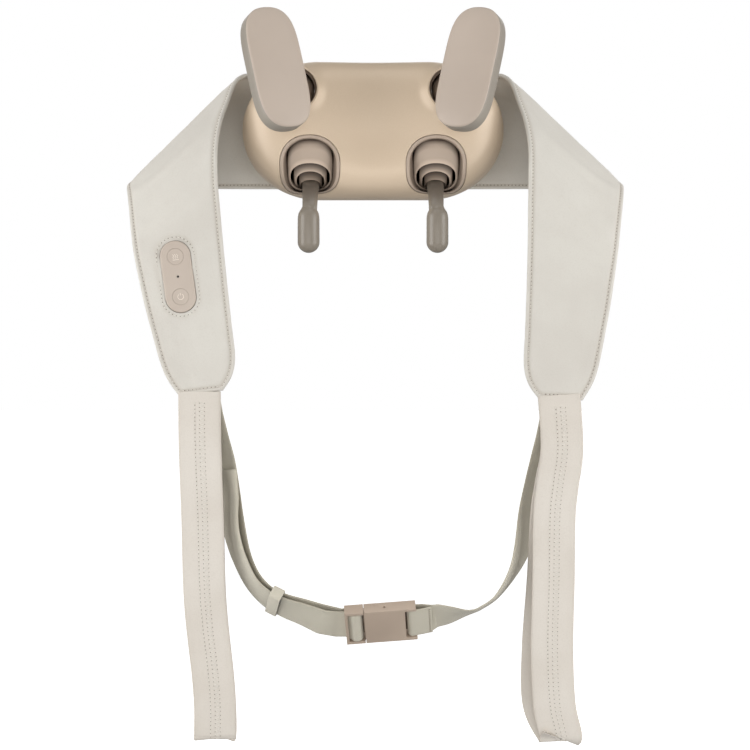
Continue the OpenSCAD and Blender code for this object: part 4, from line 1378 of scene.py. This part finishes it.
def icon_stroke(path, up):
    """A flat raised line along [x, z] points, on the button so far up the panel."""
    path = np.asarray(path, float)
    along = unit(np.gradient(path, axis=0))
    side = np.stack([-along[:, 1], along[:, 0]], 1) * ICON_W / 2
    rings = []
    for p, s in zip(path, side):
        left, right = on_control([p + s + [0, up]])[0], on_control([p - s + [0, up]])[0]
        rings.append([(x, y, z) for y, ends in ((ICON_Y, (left, right)),
                                                (ICON_Y + ICON_T, (right, left)))
                      for x, z in ends])
    return skin(rings)


def round_path(radius, start, end):
    t = np.radians(np.linspace(start, end, 24))
    return np.stack([radius * np.cos(t), radius * np.sin(t)], 1)


def controls():
    rings = []
    for y, grow in ((-34.6, -0.3), (CASE_FRONT + 1.2, -0.4), (CASE_FRONT + 0.5, -0.6),
                    (CASE_FRONT + 0.12, -1), (CASE_FRONT, -1.7), (CASE_FRONT, -5)):
        outline = control_outline(grow)
        rings.append(np.stack([outline[:, 0], np.full(len(outline), y), outline[:, 1]], 1))
    case = mesh_piece("control_case_panel", *skin(rings), PANEL, None, None)
    holes = [bar_y(on_control(superellipse(7.5, 7.5, 2, 72) + [0, up]), *POCKETS)
             for up in (BUTTON_UP, -BUTTON_UP)]
    holes.append(bar_y(on_control(superellipse(1.15, 1.15, 2, 24)), *POCKETS))
    cut(case, joined(*holes))
    tidy(case, sharp=50)
    placed(case, "casing", ["control_case"])
    dished = [(6.2, -37.4), (7.42, -37.5)]
    dished += [(r, CASE_FRONT + y) for r, y in (
        (7.42, 0.35), (7.3, 0.1), (6.8, 0), (6.2, 0.06), (4.5, 0.3), (2.4, 0.42), (0.6, 0.45))]
    for node, up in (("heat_button", BUTTON_UP), ("power_button", -BUTTON_UP)):
        mesh_piece(node + "_cap", *panel_disc(up, dished), PANEL, BODY_OF[node],
                   "taupe_plastic", [node])
    power = joined(icon_stroke(round_path(2.6, 125, 415), -BUTTON_UP),
                   icon_stroke([(0, 1.2), (0, 3.4)], -BUTTON_UP))
    mesh_piece("power_icon", *power, ICON, "power_button", None)
    waves = [icon_stroke([(x + 0.45 * math.sin(z * 2.4), z) for z in np.linspace(-1.7, 2.3, 20)],
                         BUTTON_UP)
             for x in (-1.8, 0, 1.8)]
    waves.append(icon_stroke([(-2.8, -2.9), (2.8, -2.9)], BUTTON_UP))
    mesh_piece("heat_icon", *joined(*waves), ICON, "heat_button", None)
    seam = control_outline(PANEL_SEAM)
    row = np.stack([seam[:, 0], np.full(len(seam), PANEL_Y - 2.95), seam[:, 1]], 1)
    row = np.concatenate([row, row[:1]])
    sewn("control_panel", [row], "casing", "leather", pitch=3.6)


# ---- everything that stays as the CAD has it gets its finish ----
def dress_nodes():
    for node, piece in NODES.items():
        piece.data.materials.clear()
        piece.data.materials.append(LOOKS[SLOT_OF[node]].material)


set_camera()
set_studio()
dress_nodes()
pod_shells()
socket_rims()
bezels()
hoods()
fingers()
paddles()
arms()
back_band()
hand_straps()
webbing()
keeper_and_buckle()
controls()
